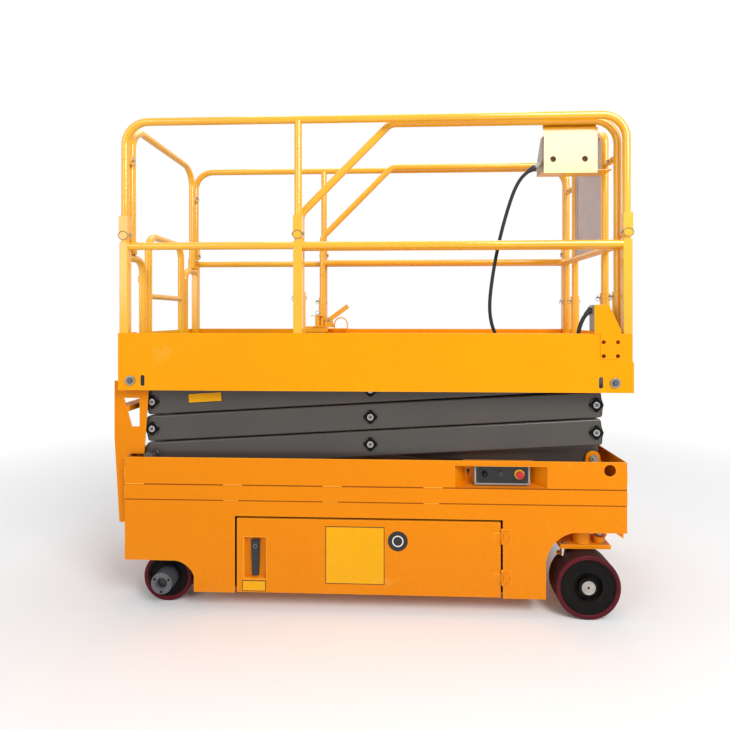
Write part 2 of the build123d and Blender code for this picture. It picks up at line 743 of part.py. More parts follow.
def make_toe_boards():
    """The folded skirt round the platform, open above the deck at the gate and the front."""
    boards = block(rear_x, front_x, -half_width, half_width, toe_board_bottom_z, toe_board_top_z)
    boards -= block(rear_x + sheet, front_x - sheet, -frame_outer_y, frame_outer_y,
                    toe_board_bottom_z - 1, toe_board_top_z + 1)
    boards -= block(front_x - 2 * sheet, front_x + 1, -half_width - 1, half_width + 1,
                    deck_z, toe_board_top_z + 1)
    gate_half = jamb_y + tube_radius
    boards -= block(rear_x - 1, rear_x + 2 * sheet, -gate_half, gate_half, deck_z, toe_board_top_z + 1)
    for x in (rear_x + 112, front_x - 140):
        slot = upright(Rotation(0, 0, 90) * SlotOverall(50, 18), -half_width - 1, half_width + 1)
        boards -= Pos(x, 0, end_bolt_z) * slot
    for x in (rear_x + 58, front_x - 81):
        for side in (-1, 1):
            boards += twin(rod_y(x, half_width - 1, half_width + 6, end_bolt_z, 21), side)
    for x in bracket_hole_xs:
        for z in bracket_hole_zs:
            boards -= rod_y(x, -half_width - 1, -frame_outer_y + 1, z, bracket_hole_radius)
    return boards


def make_lower_guardrails():
    """On each side three posts and the middle rail, up to the folding joint."""
    side = tube([(rear_post_x, rail_y, mid_rail_z), (front_post_x, rail_y, mid_rail_z)])
    for x in (rear_post_x, middle_post_x, front_post_x):
        post = block(x - lower_post_side / 2, x + lower_post_side / 2, rail_y - tube_radius, frame_outer_y,
                     deck_z, sleeve_bottom_z - moving_gap)
        side += fillet(post.edges().filter_by(Axis.Z), lower_post_corner)
        side += rod_z(x, rail_y, deck_z, rail_split_z, tube_radius)
    return pair(side)


def make_upper_guardrails():
    """On each side the bent top rail, its three legs and their hinge sleeves."""
    side = tube([(rear_post_x, rail_y, rail_split_z), (rear_post_x, rail_y, top_rail_z),
                 (front_post_x, rail_y, top_rail_z), (front_post_x, rail_y, rail_split_z)],
                [bend_radius, bend_radius])
    side += rod_z(middle_post_x, rail_y, rail_split_z, top_rail_z, tube_radius)
    half = sleeve_side / 2
    for x in (rear_post_x, middle_post_x, front_post_x):
        low_z = sleeve_bottom_z + half
        sleeve = block(x - half, x + half, rail_y - half, frame_outer_y + 2, low_z, sleeve_top_z)
        sleeve += rod_y(x, rail_y - half, frame_outer_y + 2, low_z, half)
        sleeve += rod_x(x - half - sleeve_pin_head, x + half + sleeve_pin_head, rail_y, rail_split_z - 15, 7)
        sleeve -= rod_z(x, rail_y, sleeve_bottom_z - 1, rail_split_z, tube_radius + running_gap)
        side += sleeve
    return pair(side)


def make_rear_guardrail():
    """The folding frame over the gate, with its sockets and its links to the side posts."""
    foot_z = jamb_top_z + tube_radius
    frame = tube([(rear_post_x, -rear_leg_y, foot_z), (rear_post_x, -rear_leg_y, top_rail_z),
                  (rear_post_x, rear_leg_y, top_rail_z), (rear_post_x, rear_leg_y, foot_z)],
                 [bend_radius, bend_radius])
    for side in (-1, 1):
        socket = rod_z(rear_post_x, rear_leg_y, foot_z, foot_z + 60, socket_radius)
        link = block(rear_post_x - 12, rear_post_x + 12, rear_leg_y + tube_radius - 6, rail_y - tube_radius,
                     link_z - 16, link_z + 16)
        frame += twin(socket, side) + twin(link, side)
    return frame


def make_gate_jambs():
    """Two bent tubes from the rear posts to the deck, with hinge knuckles and a gate stop."""
    side = tube([(rear_post_x, rail_y - tube_radius, jamb_top_z), (rear_post_x, jamb_y, jamb_top_z),
                 (rear_post_x, jamb_y, deck_z)], small_bend_radius)
    left = side
    for z in gate_hinge_zs:
        left += block(rear_post_x - 6, rear_post_x + 6, gate_hinge_y, jamb_y, z - 30, z)
        left += rod_z(rear_post_x, gate_hinge_y, z - 30, z, gate_knuckle_radius)
        left += rod_z(rear_post_x, gate_hinge_y, z - 30, z + 30, 4)
    stop_x = rear_post_x - tube_radius - 1
    stop_z = gate_hinge_zs[-1]
    right = twin(side, -1)
    right += block(stop_x - 4, stop_x, -jamb_y - 6, -gate_leg_y, stop_z, stop_z + 30)
    right += block(stop_x - 4, rear_post_x - 6, -jamb_y - 6, -jamb_y + 6, stop_z, stop_z + 30)
    return [left, right]


def make_entry_gate():
    """A bent tube gate with a rung and a toe plate, hinged on the left jamb."""
    bottom_z = deck_z + 12
    gate = tube([(rear_post_x, -gate_leg_y, bottom_z), (rear_post_x, -gate_leg_y, gate_top_z),
                 (rear_post_x, gate_leg_y, gate_top_z), (rear_post_x, gate_leg_y, bottom_z)], [70, 70])
    gate += rod_y(rear_post_x, -gate_leg_y, gate_leg_y, gate_rung_z, 14)
    gate += block(rear_post_x - sheet / 2, rear_post_x + sheet / 2, -gate_leg_y, gate_leg_y,
                  bottom_z + 5, toe_board_top_z)
    for z in gate_hinge_zs:
        gate += block(rear_post_x - 6, rear_post_x + 6, gate_leg_y, gate_hinge_y, z + running_gap, z + 30)
        gate += rod_z(rear_post_x, gate_hinge_y, z + running_gap, z + 30, gate_knuckle_radius)
        gate -= rod_z(rear_post_x, gate_hinge_y, z - 1, z + 31, 4 + running_gap)
    return gate


# Outlet on the platform

def make_outlet_bracket():
    """A flat bracket on the right toe board, with four holes and a raised, clipped corner."""
    rear = bracket_middle_x - 44
    front = bracket_middle_x + 43
    low_z = deck_z + 12
    outline = [(rear, low_z), (front, low_z), (front, toe_board_top_z + 15), (front - 51, bracket_top_z),
               (rear - 26, bracket_top_z), (rear - 26, toe_board_top_z), (rear, toe_board_top_z)]
    bracket = side_plate(outline, half_width, half_width + sheet)
    for x in bracket_hole_xs:
        for z in bracket_hole_zs:
            bracket -= rod_y(x, half_width - 1, half_width + sheet + 1, z, bracket_hole_radius)
    return twin(bracket, -1)


def gland(cable_end, next_point, cable_radius, length):
    """A round cable gland that meets a cable's end square on."""
    mouth = Vector(*cable_end)
    inwards = (mouth - Vector(*next_point)).normalized()
    return Plane(origin=mouth, z_dir=inwards) * Pos(0, 0, length / 2) * Cylinder(cable_radius + 4, length)


def make_outlet_box():
    """A closed socket box behind the bracket, with a cable gland on its rear side."""
    x0 = outlet_box_rear_x
    box = block(x0, x0 + outlet_box_length, -half_width, outlet_box_depth - half_width,
                toe_board_top_z + 11, bracket_top_z)
    box = fillet(box.edges().filter_by(Axis.Y), 4)
    return box + gland(*outlet_cable_points[:2], outlet_cable_radius, 24)


def cable_radii(points):
    """The largest bend at each point that leaves room for its neighbours."""
    radii = []
    for before, corner, after in zip(points, points[1:], points[2:]):
        run_in = Vector(*corner) - Vector(*before)
        run_out = Vector(*after) - Vector(*corner)
        half_turn = math.radians(run_in.get_angle(run_out)) / 2
        radii.append(0.45 * min(run_in.length, run_out.length) / math.tan(half_turn))
    return radii


def make_cable(name, points, radius):
    radii = cable_radii(points)
    cable = tube(points, radii, radius)
    path = FilletPolyline(*points, radius=radii)
    print(name, "bend radii", [round(value) for value in radii])
    print(name, "length", round(path.length), "volume ratio",
          round(cable.volume / (path.length * math.pi * radius ** 2), 4))
    return cable


def make_outlet_cable():
    return make_cable("outlet_cable", outlet_cable_points, outlet_cable_radius)


def make_console_cable():
    return make_cable("console_cable", console_cable_points, console_cable_radius)


# Extension deck and its guardrails

def make_extension_deck():
    """A sliding deck with folded edges, wear strips below and a cable gland."""
    front = extension_deck_front_x
    deck = block(extension_deck_rear_x, front, -extension_side_y, extension_side_y,
                 extension_deck_bottom_z, extension_deck_z)
    for side in (-1, 1):
        deck += twin(block(extension_deck_rear_x, front + sheet, extension_side_y, extension_side_y + sheet,
                           extension_deck_bottom_z, toe_board_top_z), side)
        deck += twin(block(extension_deck_rear_x, front, 270, 310, deck_z + running_gap,
                           extension_deck_bottom_z), side)
    deck += block(front, front + sheet, -extension_side_y, extension_side_y,
                  extension_deck_bottom_z, toe_board_top_z)
    last, before_last = console_cable_points[-1], console_cable_points[-2]
    return deck + gland(last, before_last, console_cable_radius, last[2] - extension_deck_bottom_z)


def make_extension_rails():
    """On each side a bent rail with a sloping rear end, its middle rail and sockets."""
    rear = middle_post_x
    front = extension_front_x
    y = extension_rail_y
    side = tube([(rear, y, extension_deck_z), (rear, y, diagonal_start_z),
                 (rear + diagonal_run, y, top_rail_z), (front, y, top_rail_z), (front, y, extension_deck_z)],
                [small_bend_radius, small_bend_radius, bend_radius])
    side += tube([(rear, y, mid_rail_z), (front, y, mid_rail_z)])
    for x in (rear, front):
        side += rod_z(x, y, extension_deck_z, socket_top_z, socket_radius)
    return pair(side)


def make_front_guardrail():
    """The front frame of the extension: an upright hoop, a middle rail and two links."""
    x = extension_front_x
    inner_y = extension_rail_y - tube_radius
    frame = tube([(x, -front_leg_y, extension_deck_z), (x, -front_leg_y, top_rail_z),
                  (x, front_leg_y, top_rail_z), (x, front_leg_y, extension_deck_z)],
                 [small_bend_radius, small_bend_radius])
    frame += rod_y(x, -inner_y, inner_y, mid_rail_z, tube_radius)
    for side in (-1, 1):
        frame += twin(rod_y(x, front_leg_y, inner_y, link_z, 10), side)
        frame += twin(rod_z(x, front_leg_y, extension_deck_z, socket_top_z, socket_radius), side)
    return frame


def make_mesh_panel():
    """The sheet panel in the upper half of the front frame, with its border strips."""
    half = front_leg_y - tube_radius
    low_z = mid_rail_z + tube_radius
    high_z = top_rail_z - tube_radius
    corner = small_bend_radius - tube_radius
    strip = 22

    def rounded(inset):
        side = half - inset
        top = high_z - inset
        turn = corner - inset
        low = low_z + inset
        outline = Polyline((-side, top - turn), (-side, low), (side, low), (side, top - turn))
        outline += JernArc((side, top - turn), (0, 1), turn, 90)
        outline += Line((side - turn, top), (-side + turn, top))
        outline += JernArc((-side + turn, top), (-1, 0), turn, 90)
        return make_face(outline)

    def panel(inset, thickness):
        plane = Plane(origin=(extension_front_x - thickness / 2, 0, 0), x_dir=(0, 1, 0), z_dir=(1, 0, 0))
        return extrude(plane * rounded(inset), amount=thickness)

    return panel(running_gap, 6) - panel(strip, 8) + panel(running_gap, 2)


def make_console_bracket():
    """The yellow plate that hangs from the extension's right rail, with its shelf."""
    rear, front = console_rear_x, console_front_x
    outer_y = extension_rail_y
    hook_y = extension_rail_y - tube_radius
    bracket = block(rear, front, outer_y - sheet, outer_y, console_bottom_z - 16, console_top_z + sheet)
    bracket += block(rear, front, hook_y - sheet, outer_y, console_top_z, console_top_z + sheet)
    bracket += block(rear, front, hook_y - sheet, hook_y, console_top_z, top_rail_z + 8)
    bracket += block(rear, console_shelf_front_x, outer_y - 105, outer_y, console_bottom_z - sheet,
                     console_bottom_z)
    for x in (rear + 41, rear + 182):
        bracket -= rod_y(x, outer_y - 2 * sheet, outer_y + 1, console_bottom_z + 47, 13)
    return twin(bracket, -1)


def make_control_console():
    """A wedge-shaped control box with a joystick, a stop button and a cable gland."""
    back_y = extension_rail_y - 22
    front_y = back_y - 92
    high_z = console_bottom_z + 157
    low_z = high_z - 100
    face = make_face(Polyline((back_y, console_bottom_z), (back_y, high_z), (back_y - 30, high_z),
                              (front_y, low_z), (front_y, console_bottom_z), close=True))
    box = extrude(Plane(origin=(console_rear_x, 0, 0), x_dir=(0, 1, 0), z_dir=(1, 0, 0)) * face,
                  amount=console_front_x - console_rear_x)
    slope_middle = (console_rear_x + 80, back_y - 61, (low_z + high_z) / 2)
    slope = Plane(origin=slope_middle, x_dir=(1, 0, 0), z_dir=(0, -100, 62))
    box += slope * Pos(0, 0, 30) * Cylinder(9, 64)
    box += slope * Pos(0, 0, 68) * Sphere(16)
    box += slope * Pos(0, 0, 3) * Cylinder(26, 8)
    box += slope * Pos(100, 0, 10) * Cylinder(14, 24)
    box += slope * Pos(100, 0, 24) * Cylinder(20, 12)
    return twin(box, -1) + gland(*console_cable_points[:2], console_cable_radius, 56)


def make_extension_lock():
    """The lever and bracket on the extension's left rear leg that lock it in place."""
    x = middle_post_x
    y = extension_rail_y
    z = toe_board_top_z + 9
    lock = block(x - 50, x + 60, y - 44, y + 20, z, z + 44)
    lock -= rod_z(x, y, z - 1, z + 45, socket_radius + running_gap)
    lock += block(x + 58, x + 156, y - 24, y - 12, z, z + 8)
    lock += block(x + 148, x + 156, y - 24, y - 12, z, z + 60)
    lock += rod_z(x - 26, y - 30, z, z + 68, 12)
    lever = [(x + 34, y - 18, z + 34), (x + 80, y - 18, z + 66), (x + 152, y - 18, z + 122)]
    return lock + tube(lever, 30, 11)


def make_all():
    nodes = {
        "chassis_frame": make_chassis_frame(),
        "side_skirts": make_side_skirts(),
        "underbody_tray": make_underbody_tray(),
        "rear_ladder": make_rear_ladder(),
        "rear_axle": make_rear_axle(),
        "front_axle_beam": make_front_axle_beam(),
        "base_brackets": make_base_brackets(),
        "battery_pack": make_battery_pack(),
        "hydraulic_unit": make_hydraulic_unit(),
        "ground_control_panel": make_ground_control_panel(),
        "door_hinges": make_door_hinges(),
        "battery_door": make_door(-1),
        "battery_door_handle": make_door_handle(-1),
        "pump_door": make_door(1),
        "pump_door_handle": make_door_handle(1),
        "tie_rod": make_tie_rod(),
        "lift_cylinder_barrel": make_lift_cylinder_barrel(),
        "lift_cylinder_rod": make_lift_cylinder_rod(),
        "platform_frame": make_platform_frame(),
        "platform_side_plates": make_platform_side_plates(),
        "platform_side_flanges": make_platform_side_flanges(),
        "platform_end_beams": make_platform_end_beams(),
        "deck_plate": make_deck_plate(),
        "toe_boards": make_toe_boards(),
        "lower_guardrails": make_lower_guardrails(),
        "upper_guardrails": make_upper_guardrails(),
        "rear_guardrail": make_rear_guardrail(),
        "gate_jambs": make_gate_jambs(),
        "entry_gate": make_entry_gate(),
        "outlet_bracket": make_outlet_bracket(),
        "outlet_box": make_outlet_box(),
        "outlet_cable": make_outlet_cable(),
        "extension_deck": make_extension_deck(),
        "extension_rails": make_extension_rails(),
        "front_guardrail": make_front_guardrail(),
        "mesh_panel": make_mesh_panel(),
        "console_bracket": make_console_bracket(),
        "control_console": make_control_console(),
        "console_cable": make_console_cable(),
        "extension_lock": make_extension_lock(),
    }
    for name, side in (("right", -1), ("left", 1)):
        nodes[f"{name}_knuckle"] = make_knuckle(side)
        nodes[f"{name}_drive_motor"] = make_drive_motor(side)
        nodes[f"front_{name}_tyre"] = make_tyre(front_axle_x, front_wheel_radius, front_wheel_outer_y,
                                               front_wheel_width, side)
        nodes[f"front_{name}_hub"] = make_front_hub(side)
        nodes[f"rear_{name}_tyre"] = make_tyre(rear_axle_x, rear_wheel_radius, rear_wheel_outer_y,
                                              rear_wheel_width, side)
        nodes[f"rear_{name}_hub"] = make_rear_hub(side)
    for level in range(1, levels + 1):
        nodes[f"outer_arms_{level}"] = make_outer_arms(level)
        nodes[f"inner_arms_{level}"] = make_inner_arms(level)
    return nodes


os.makedirs("parts", exist_ok=True)
for node_name, shape in make_all().items():
    solids = shape if isinstance(shape, list) else [shape]
    flat = [solid for item in solids for solid in item.solids()]
    export_step(Compound(children=flat), f"parts/{node_name}.step")
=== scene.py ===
"""Looks of a narrow electric scissor lift with a sliding platform extension.

Lengths are in metres, in the lift's own frame: +X towards the steered front wheels,
+Y to the machine's left, +Z up, with the floor at Z = 0 and the lift stowed.
"""

import json
import math

import bpy
from mathutils import Euler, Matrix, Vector

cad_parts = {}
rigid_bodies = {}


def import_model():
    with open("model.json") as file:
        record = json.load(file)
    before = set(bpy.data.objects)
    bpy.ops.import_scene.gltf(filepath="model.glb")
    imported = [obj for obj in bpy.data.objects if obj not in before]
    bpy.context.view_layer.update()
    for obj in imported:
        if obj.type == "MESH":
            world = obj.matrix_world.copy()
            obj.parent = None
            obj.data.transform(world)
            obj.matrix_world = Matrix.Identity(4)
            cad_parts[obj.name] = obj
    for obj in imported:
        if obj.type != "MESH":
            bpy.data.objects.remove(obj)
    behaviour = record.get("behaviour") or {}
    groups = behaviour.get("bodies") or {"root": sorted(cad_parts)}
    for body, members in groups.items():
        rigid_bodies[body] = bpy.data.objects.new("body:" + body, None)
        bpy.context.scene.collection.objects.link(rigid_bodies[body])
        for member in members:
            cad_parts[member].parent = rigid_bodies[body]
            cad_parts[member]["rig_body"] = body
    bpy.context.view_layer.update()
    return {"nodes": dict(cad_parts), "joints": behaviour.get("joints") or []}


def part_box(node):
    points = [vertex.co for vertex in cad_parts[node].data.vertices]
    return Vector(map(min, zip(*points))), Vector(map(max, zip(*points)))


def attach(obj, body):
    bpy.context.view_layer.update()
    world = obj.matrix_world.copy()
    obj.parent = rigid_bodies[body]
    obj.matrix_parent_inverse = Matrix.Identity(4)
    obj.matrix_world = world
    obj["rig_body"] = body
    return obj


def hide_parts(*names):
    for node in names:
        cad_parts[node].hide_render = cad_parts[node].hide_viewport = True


bl_info = {
    "name": "Scissor Lift Finish",
    "version": (1, 0, 0),
    "blender": (4, 5, 0),
    "location": "View3D > Sidebar > Lift",
    "description": "Paint, fittings, wheels, controls and cables of a scissor lift",
    "category": "Object",
}

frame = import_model()
joints = {joint["name"]: joint for joint in frame["joints"]}
SIDES = {"right": -1, "left": 1}
LEVELS = (1, 2, 3)


# Places read from the frame

def corner(node, which):
    """A corner of a frame piece's box: 0 is the lowest, 1 the highest."""
    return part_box(node)[which]


chassis_low, chassis_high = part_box("chassis_frame")
toe_low, toe_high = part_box("toe_boards")
side_y = chassis_high.y
deck_z = joints["platform_pivot"]["pos_m"][2] + 0.073
extension_deck_z = deck_z + 0.007
rail_y = 0.385
extension_rail_y = 0.325
well_floor_z = 0.563
band_bottom_z = 0.491
rear_post_x = joints["entry_gate_hinge"]["pos_m"][0]
front_post_x = toe_high.x - (rear_post_x - toe_low.x)
middle_post_x = toe_low.x + 0.81
extension_front_x = front_post_x - 0.012
top_rail_z = deck_z + 1.075
rail_split_z = deck_z + 0.582
link_z = top_rail_z - 0.163
socket_top_z = deck_z + 0.307
base_pin_z = joints["outer_arms_1_pivot"]["pos_m"][2] - 0.0615
level_rise = 0.123
fixed_pin_x = 1.022
pin_span = 2.01
outer_arm_y = 0.338
inner_arm_y = 0.29
arm_width = 0.04
arm_height = 0.117
arm_end = 0.028
arm_corner = 0.008
perforation_pitch = 0.012
control_bay_rear_x = 0.33
control_bay_front_x = 0.83
door_hinge_x = 0.596
door_hinge_heights = (0.173, 0.353)
axle_x = 0.967
axle_z = 0.139


# Cable routes, from gland to gland, as the frame's own cables run

OUTLET_CABLE = (
    (0.980, -0.374, 1.340), (0.960, -0.374, 1.320), (0.946, -0.375, 1.294), (0.935, -0.374, 1.262),
    (0.929, -0.373, 1.222), (0.929, -0.374, 1.182), (0.929, -0.374, 1.145),
)
CONSOLE_CABLE = (
    (0.756, -0.290, 1.990), (0.716, -0.290, 1.966), (0.676, -0.291, 1.902), (0.645, -0.290, 1.810),
    (0.616, -0.288, 1.705), (0.592, -0.289, 1.597), (0.572, -0.290, 1.480), (0.560, -0.291, 1.370),
    (0.567, -0.290, 1.290), (0.590, -0.290, 1.228), (0.612, -0.290, 1.184), (0.612, -0.290, 1.140),
)


# Choosing and shaping, as by hand

def clear_selection():
    bpy.ops.object.select_all(action="DESELECT")


def choose(*pieces):
    clear_selection()
    for piece in pieces:
        piece.select_set(True)
    bpy.context.view_layer.objects.active = pieces[0]


def named(name):
    """The object that was just added, under its own name."""
    piece = bpy.context.active_object
    piece.name = name
    piece.data.name = name
    return piece


def settle(piece):
    """The object goes to the origin, with its place in its mesh."""
    choose(piece)
    bpy.ops.object.transform_apply(location=True, rotation=True, scale=True)
    return piece


def block(name, low, high, turn=0):
    """A rectangular block between two corners, turned about its own middle along Y."""
    low, high = Vector(low), Vector(high)
    clear_selection()
    bpy.ops.mesh.primitive_cube_add(size=1, location=(low + high) / 2, rotation=(0, turn, 0))
    bpy.context.active_object.scale = [abs(size) for size in high - low]
    return settle(named(name))


def rod(name, start, end, radius, sides=32):
    """A round bar from one point to another."""
    start, end = Vector(start), Vector(end)
    along = end - start
    clear_selection()
    bpy.ops.mesh.primitive_cylinder_add(vertices=sides, radius=radius, depth=along.length,
                                        location=(start + end) / 2,
                                        rotation=along.to_track_quat("Z", "Y").to_euler())
    return settle(named(name))


def ring(name, middle, axis, radius, thickness, sides=40, round_sides=10):
    """A round ring about an axis."""
    turn = Vector(axis).to_track_quat("Z", "Y").to_euler()
    clear_selection()
    bpy.ops.mesh.primitive_torus_add(location=middle, rotation=turn, major_radius=radius,
                                     minor_radius=thickness, major_segments=sides, minor_segments=round_sides)
    return settle(named(name))


def ball(name, middle, radius, squash=(1, 1, 1)):
    clear_selection()
    bpy.ops.mesh.primitive_uv_sphere_add(segments=24, ring_count=14, radius=radius, location=middle)
    bpy.context.active_object.scale = squash
    return settle(named(name))


def pick_faces(piece, test):
    """Enters edit mode with the faces chosen whose middle and normal pass the test."""
    choose(piece)
    bpy.ops.object.mode_set(mode="EDIT")
    bpy.ops.mesh.select_all(action="DESELECT")
    bpy.ops.mesh.select_mode(type="FACE")
    bpy.ops.object.mode_set(mode="OBJECT")
    for face in piece.data.polygons:
        face.select = test(face.center, face.normal)
    bpy.ops.object.mode_set(mode="EDIT")


def done_editing():
    bpy.ops.object.mode_set(mode="OBJECT")


def step_face(piece, direction, steps):
    """The end face towards a direction is inset and pushed in steps: (inset, push along it)."""
    direction = Vector(direction)
    far = max(vertex.co.dot(direction) for vertex in piece.data.vertices)

    def is_end(middle, normal):
        return normal.dot(direction) > 0.99 and middle.dot(direction) > far - 1e-5

    pick_faces(piece, is_end)
    for inset, push in steps:
        if inset:
            bpy.ops.mesh.inset(thickness=inset, depth=0)
        if push:
            bpy.ops.mesh.extrude_region_move(TRANSFORM_OT_translate={"value": direction * push})
    done_editing()
    return piece


def resized(piece, factors, middle):
    """The whole object is scaled about a point, and settled again."""
    choose(piece)
    bpy.ops.transform.resize(value=factors, center_override=middle)
    return settle(piece)


def taper(piece, direction, factors):
    """The end face towards a direction is scaled about its own middle."""
    step_face(piece, direction, [])
    bpy.ops.object.mode_set(mode="EDIT")
    bpy.ops.transform.resize(value=factors)
    done_editing()
    return piece


def smooth(piece):
    choose(piece)
    bpy.ops.object.shade_smooth()
    return piece


def modify(piece, kind, **values):
    """Adds one modifier and applies it."""
    choose(piece)
    modifier = piece.modifiers.new(kind.lower(), kind)
    for key, value in values.items():
        setattr(modifier, key, value)
    bpy.ops.object.modifier_apply(modifier=modifier.name)
    return piece


def repeat(piece, count, step):
    """Copies of a piece, each a step further on, in the same mesh."""
    return modify(piece, "ARRAY", count=count, use_relative_offset=False, use_constant_offset=True,
                  constant_offset_displace=step)


def ease(piece, width=0.001, segments=2):
    """Rounds the sharp edges, and shades what is curved smoothly."""
    modify(piece, "BEVEL", width=width, segments=segments, limit_method="ANGLE", angle_limit=math.radians(35),
           use_clamp_overlap=True)
    return even_shading(piece, 40)


def even_shading(piece, angle):
    """Curved faces shade smoothly, and flat ones stay flat up to their eased edges."""
    choose(piece)
    bpy.ops.object.shade_smooth_by_angle(angle=math.radians(angle))
    return modify(piece, "WEIGHTED_NORMAL", keep_sharp=True, weight=100)


def union(name, pieces):
    """Several meshes joined into one piece, without welding them."""
    choose(*pieces)
    bpy.ops.object.join()
    return named(name)


def outward(side):
    """The direction out of the machine's side: -1 is its right, 1 its left."""
    return Vector((0, side, 0))


def give(piece, body, material, *stands_for, slot=None):
    """The piece gets its material, rides on a body, and may stand for frame pieces. The slot argument is not
    used.
    """
    if material:
        piece.data.materials.clear()
        piece.data.materials.append(bpy.data.materials[material])
    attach(piece, body)
    if stands_for:
        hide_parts(*stands_for)
    return piece


def fit(name, pieces, body, material, *stands_for, slot=None):
    """Several meshes become one piece of the lift."""
    return give(union(name, pieces), body, material, *stands_for, slot=slot)


def bolt(name, place, direction, size=0.008, head=0.006):
    """A hexagon bolt head on its washer, on a surface and facing outwards."""
    place, direction = Vector(place), Vector(direction).normalized()
    washer = rod(name + "_washer", place - direction * 0.001, place + direction * 0.002, size * 1.15, 24)
    hexagon = rod(name, place + direction * 0.002, place + direction * (0.002 + head), size * 0.92, 6)
    step_face(hexagon, direction, [(size * 0.16, 0), (0, head * 0.08)])
    for part in (washer, hexagon):
        ease(part, 0.0005, 1)
    return union(name, [hexagon, washer])


# Node groups that several finishes share

def new_group(name, inputs, outputs):
    """A shader group with named sockets: (name, kind, default)."""
    group = bpy.data.node_groups.new(name, "ShaderNodeTree")
    for label, kind, default in inputs:
        socket = group.interface.new_socket(label, in_out="INPUT", socket_type=f"NodeSocket{kind}")
        if default is not None:
            socket.default_value = default
    for label, kind in outputs:
        group.interface.new_socket(label, in_out="OUTPUT", socket_type=f"NodeSocket{kind}")
    return group, group.nodes.new("NodeGroupInput"), group.nodes.new("NodeGroupOutput")


def node(tree, kind, values=None, links=None, **settings):
    """One node with its settings, its socket values and what is linked into it."""
    made = tree.nodes.new(kind)
    for key, value in settings.items():
        setattr(made, key, value)
    for socket, value in (values or {}).items():
        made.inputs[socket].default_value = value
    for socket, source in (links or {}).items():
        tree.links.new(source, made.inputs[socket])
    return made


def ramp(tree, source, low, high):
    """Stretches a mask so that low becomes 0 and high becomes 1."""
    made = node(tree, "ShaderNodeMapRange", {"From Min": low, "From Max": high}, {"Value": source})
    return made.outputs["Result"]


def feed(tree, sockets, values):
    """Each value goes into its socket: a plain one is set, and another node's output is linked."""
    for socket, value in zip(sockets, values):
        if isinstance(value, bpy.types.NodeSocket):
            tree.links.new(value, socket)
        else:
            socket.default_value = value


def mix(tree, share, first, second):
    """A mix of two colours. Each is a plain colour or another node's output."""
    made = node(tree, "ShaderNodeMix", data_type="RGBA")
    feed(tree, (made.inputs["Factor"], made.inputs[6], made.inputs[7]), (share, first, second))
    return made.outputs[2]


def maths(tree, operation, first, second=0.0):
    made = node(tree, "ShaderNodeMath", operation=operation)
    feed(tree, made.inputs, (first, second))
    return made.outputs[0]


def make_uneven_colour_group():
    """Broad and fine unevenness of a coating."""
    group, start, end = new_group(
        "uneven_colour",
        [("Vector", "Vector", None), ("Colour", "Color", (1, 1, 1, 1)), ("Other", "Color", (0, 0, 0, 1)),
         ("Scale", "Float", 4.0), ("Amount", "Float", 0.3)],
        [("Colour", "Color")])
    broad = node(group, "ShaderNodeTexNoise", {"Detail": 3.0},
                 {"Vector": start.outputs["Vector"], "Scale": start.outputs["Scale"]})
    share = maths(group, "MULTIPLY", ramp(group, broad.outputs["Fac"], 0.3, 0.72), start.outputs["Amount"])
    group.links.new(mix(group, share, start.outputs["Colour"], start.outputs["Other"]), end.inputs["Colour"])


def make_fine_grain_group():
    """Height of a coating's orange peel, a casting's skin or moulded plastic's grain."""
    group, start, end = new_group(
        "fine_grain", [("Vector", "Vector", None), ("Scale", "Float", 300.0), ("Detail", "Float", 2.0)],
        [("Height", "Float")])
    grain = node(group, "ShaderNodeTexNoise", {"Roughness": 0.55},
                 {"Vector": start.outputs["Vector"], "Scale": start.outputs["Scale"],
                  "Detail": start.outputs["Detail"]})
    group.links.new(grain.outputs["Fac"], end.inputs["Height"])


def make_scuffs_group():
    """Thin scattered scratches, as a mask."""
    group, start, end = new_group(
        "scuffs", [("Vector", "Vector", None), ("Scale", "Float", 6.0), ("Amount", "Float", 0.5)],
        [("Mask", "Float")])
    marks = None
    for turn in (0.4, 1.9):
        turned = node(group, "ShaderNodeMapping", {"Rotation": (turn, turn * 0.6, turn * 1.3),
                                                   "Scale": (1.0, 14.0, 1.0)},
                      {"Vector": start.outputs["Vector"]})
        lines = node(group, "ShaderNodeTexNoise", {"Detail": 4.0},
                     {"Vector": turned.outputs["Vector"], "Scale": start.outputs["Scale"]})
        thin = ramp(group, lines.outputs["Fac"], 0.69, 0.73)
        marks = thin if marks is None else maths(group, "MAXIMUM", marks, thin)
    where = ramp(group, noise(group, start.outputs["Vector"], Scale=1.7, Detail=2.0), 0.45, 0.65)
    masked = maths(group, "MULTIPLY", marks, where)
    group.links.new(maths(group, "MULTIPLY", masked, start.outputs["Amount"]), end.inputs["Mask"])


def make_settled_dust_group():
    """Dust on what faces up, and splashes low on the machine, as a mask."""
    group, start, end = new_group(
        "settled_dust", [("Vector", "Vector", None), ("Amount", "Float", 0.3), ("Low Edge", "Float", 0.35)],
        [("Mask", "Float")])
    facing = node(group, "ShaderNodeNewGeometry")
    normal = node(group, "ShaderNodeSeparateXYZ", None, {"Vector": facing.outputs["Normal"]})
    place = node(group, "ShaderNodeSeparateXYZ", None, {"Vector": start.outputs["Vector"]})
    up = ramp(group, normal.outputs["Z"], 0.35, 1.0)
    drop = maths(group, "SUBTRACT", start.outputs["Low Edge"], place.outputs["Z"])
    low = maths(group, "MULTIPLY", ramp(group, drop, 0.0, 0.3), 0.55)
    speckle = noise(group, start.outputs["Vector"], Scale=38.0, Detail=6.0, Roughness=0.65)
    broken = ramp(group, speckle, 0.38, 0.7)
    either = maths(group, "MAXIMUM", up, low)
    mask = maths(group, "MULTIPLY", maths(group, "MULTIPLY", either, broken), start.outputs["Amount"])
    group.links.new(mask, end.inputs["Mask"])


def noise(tree, place, **values):
    """The strength of a noise texture at a place."""
    return node(tree, "ShaderNodeTexNoise", values, {"Vector": place}).outputs["Fac"]


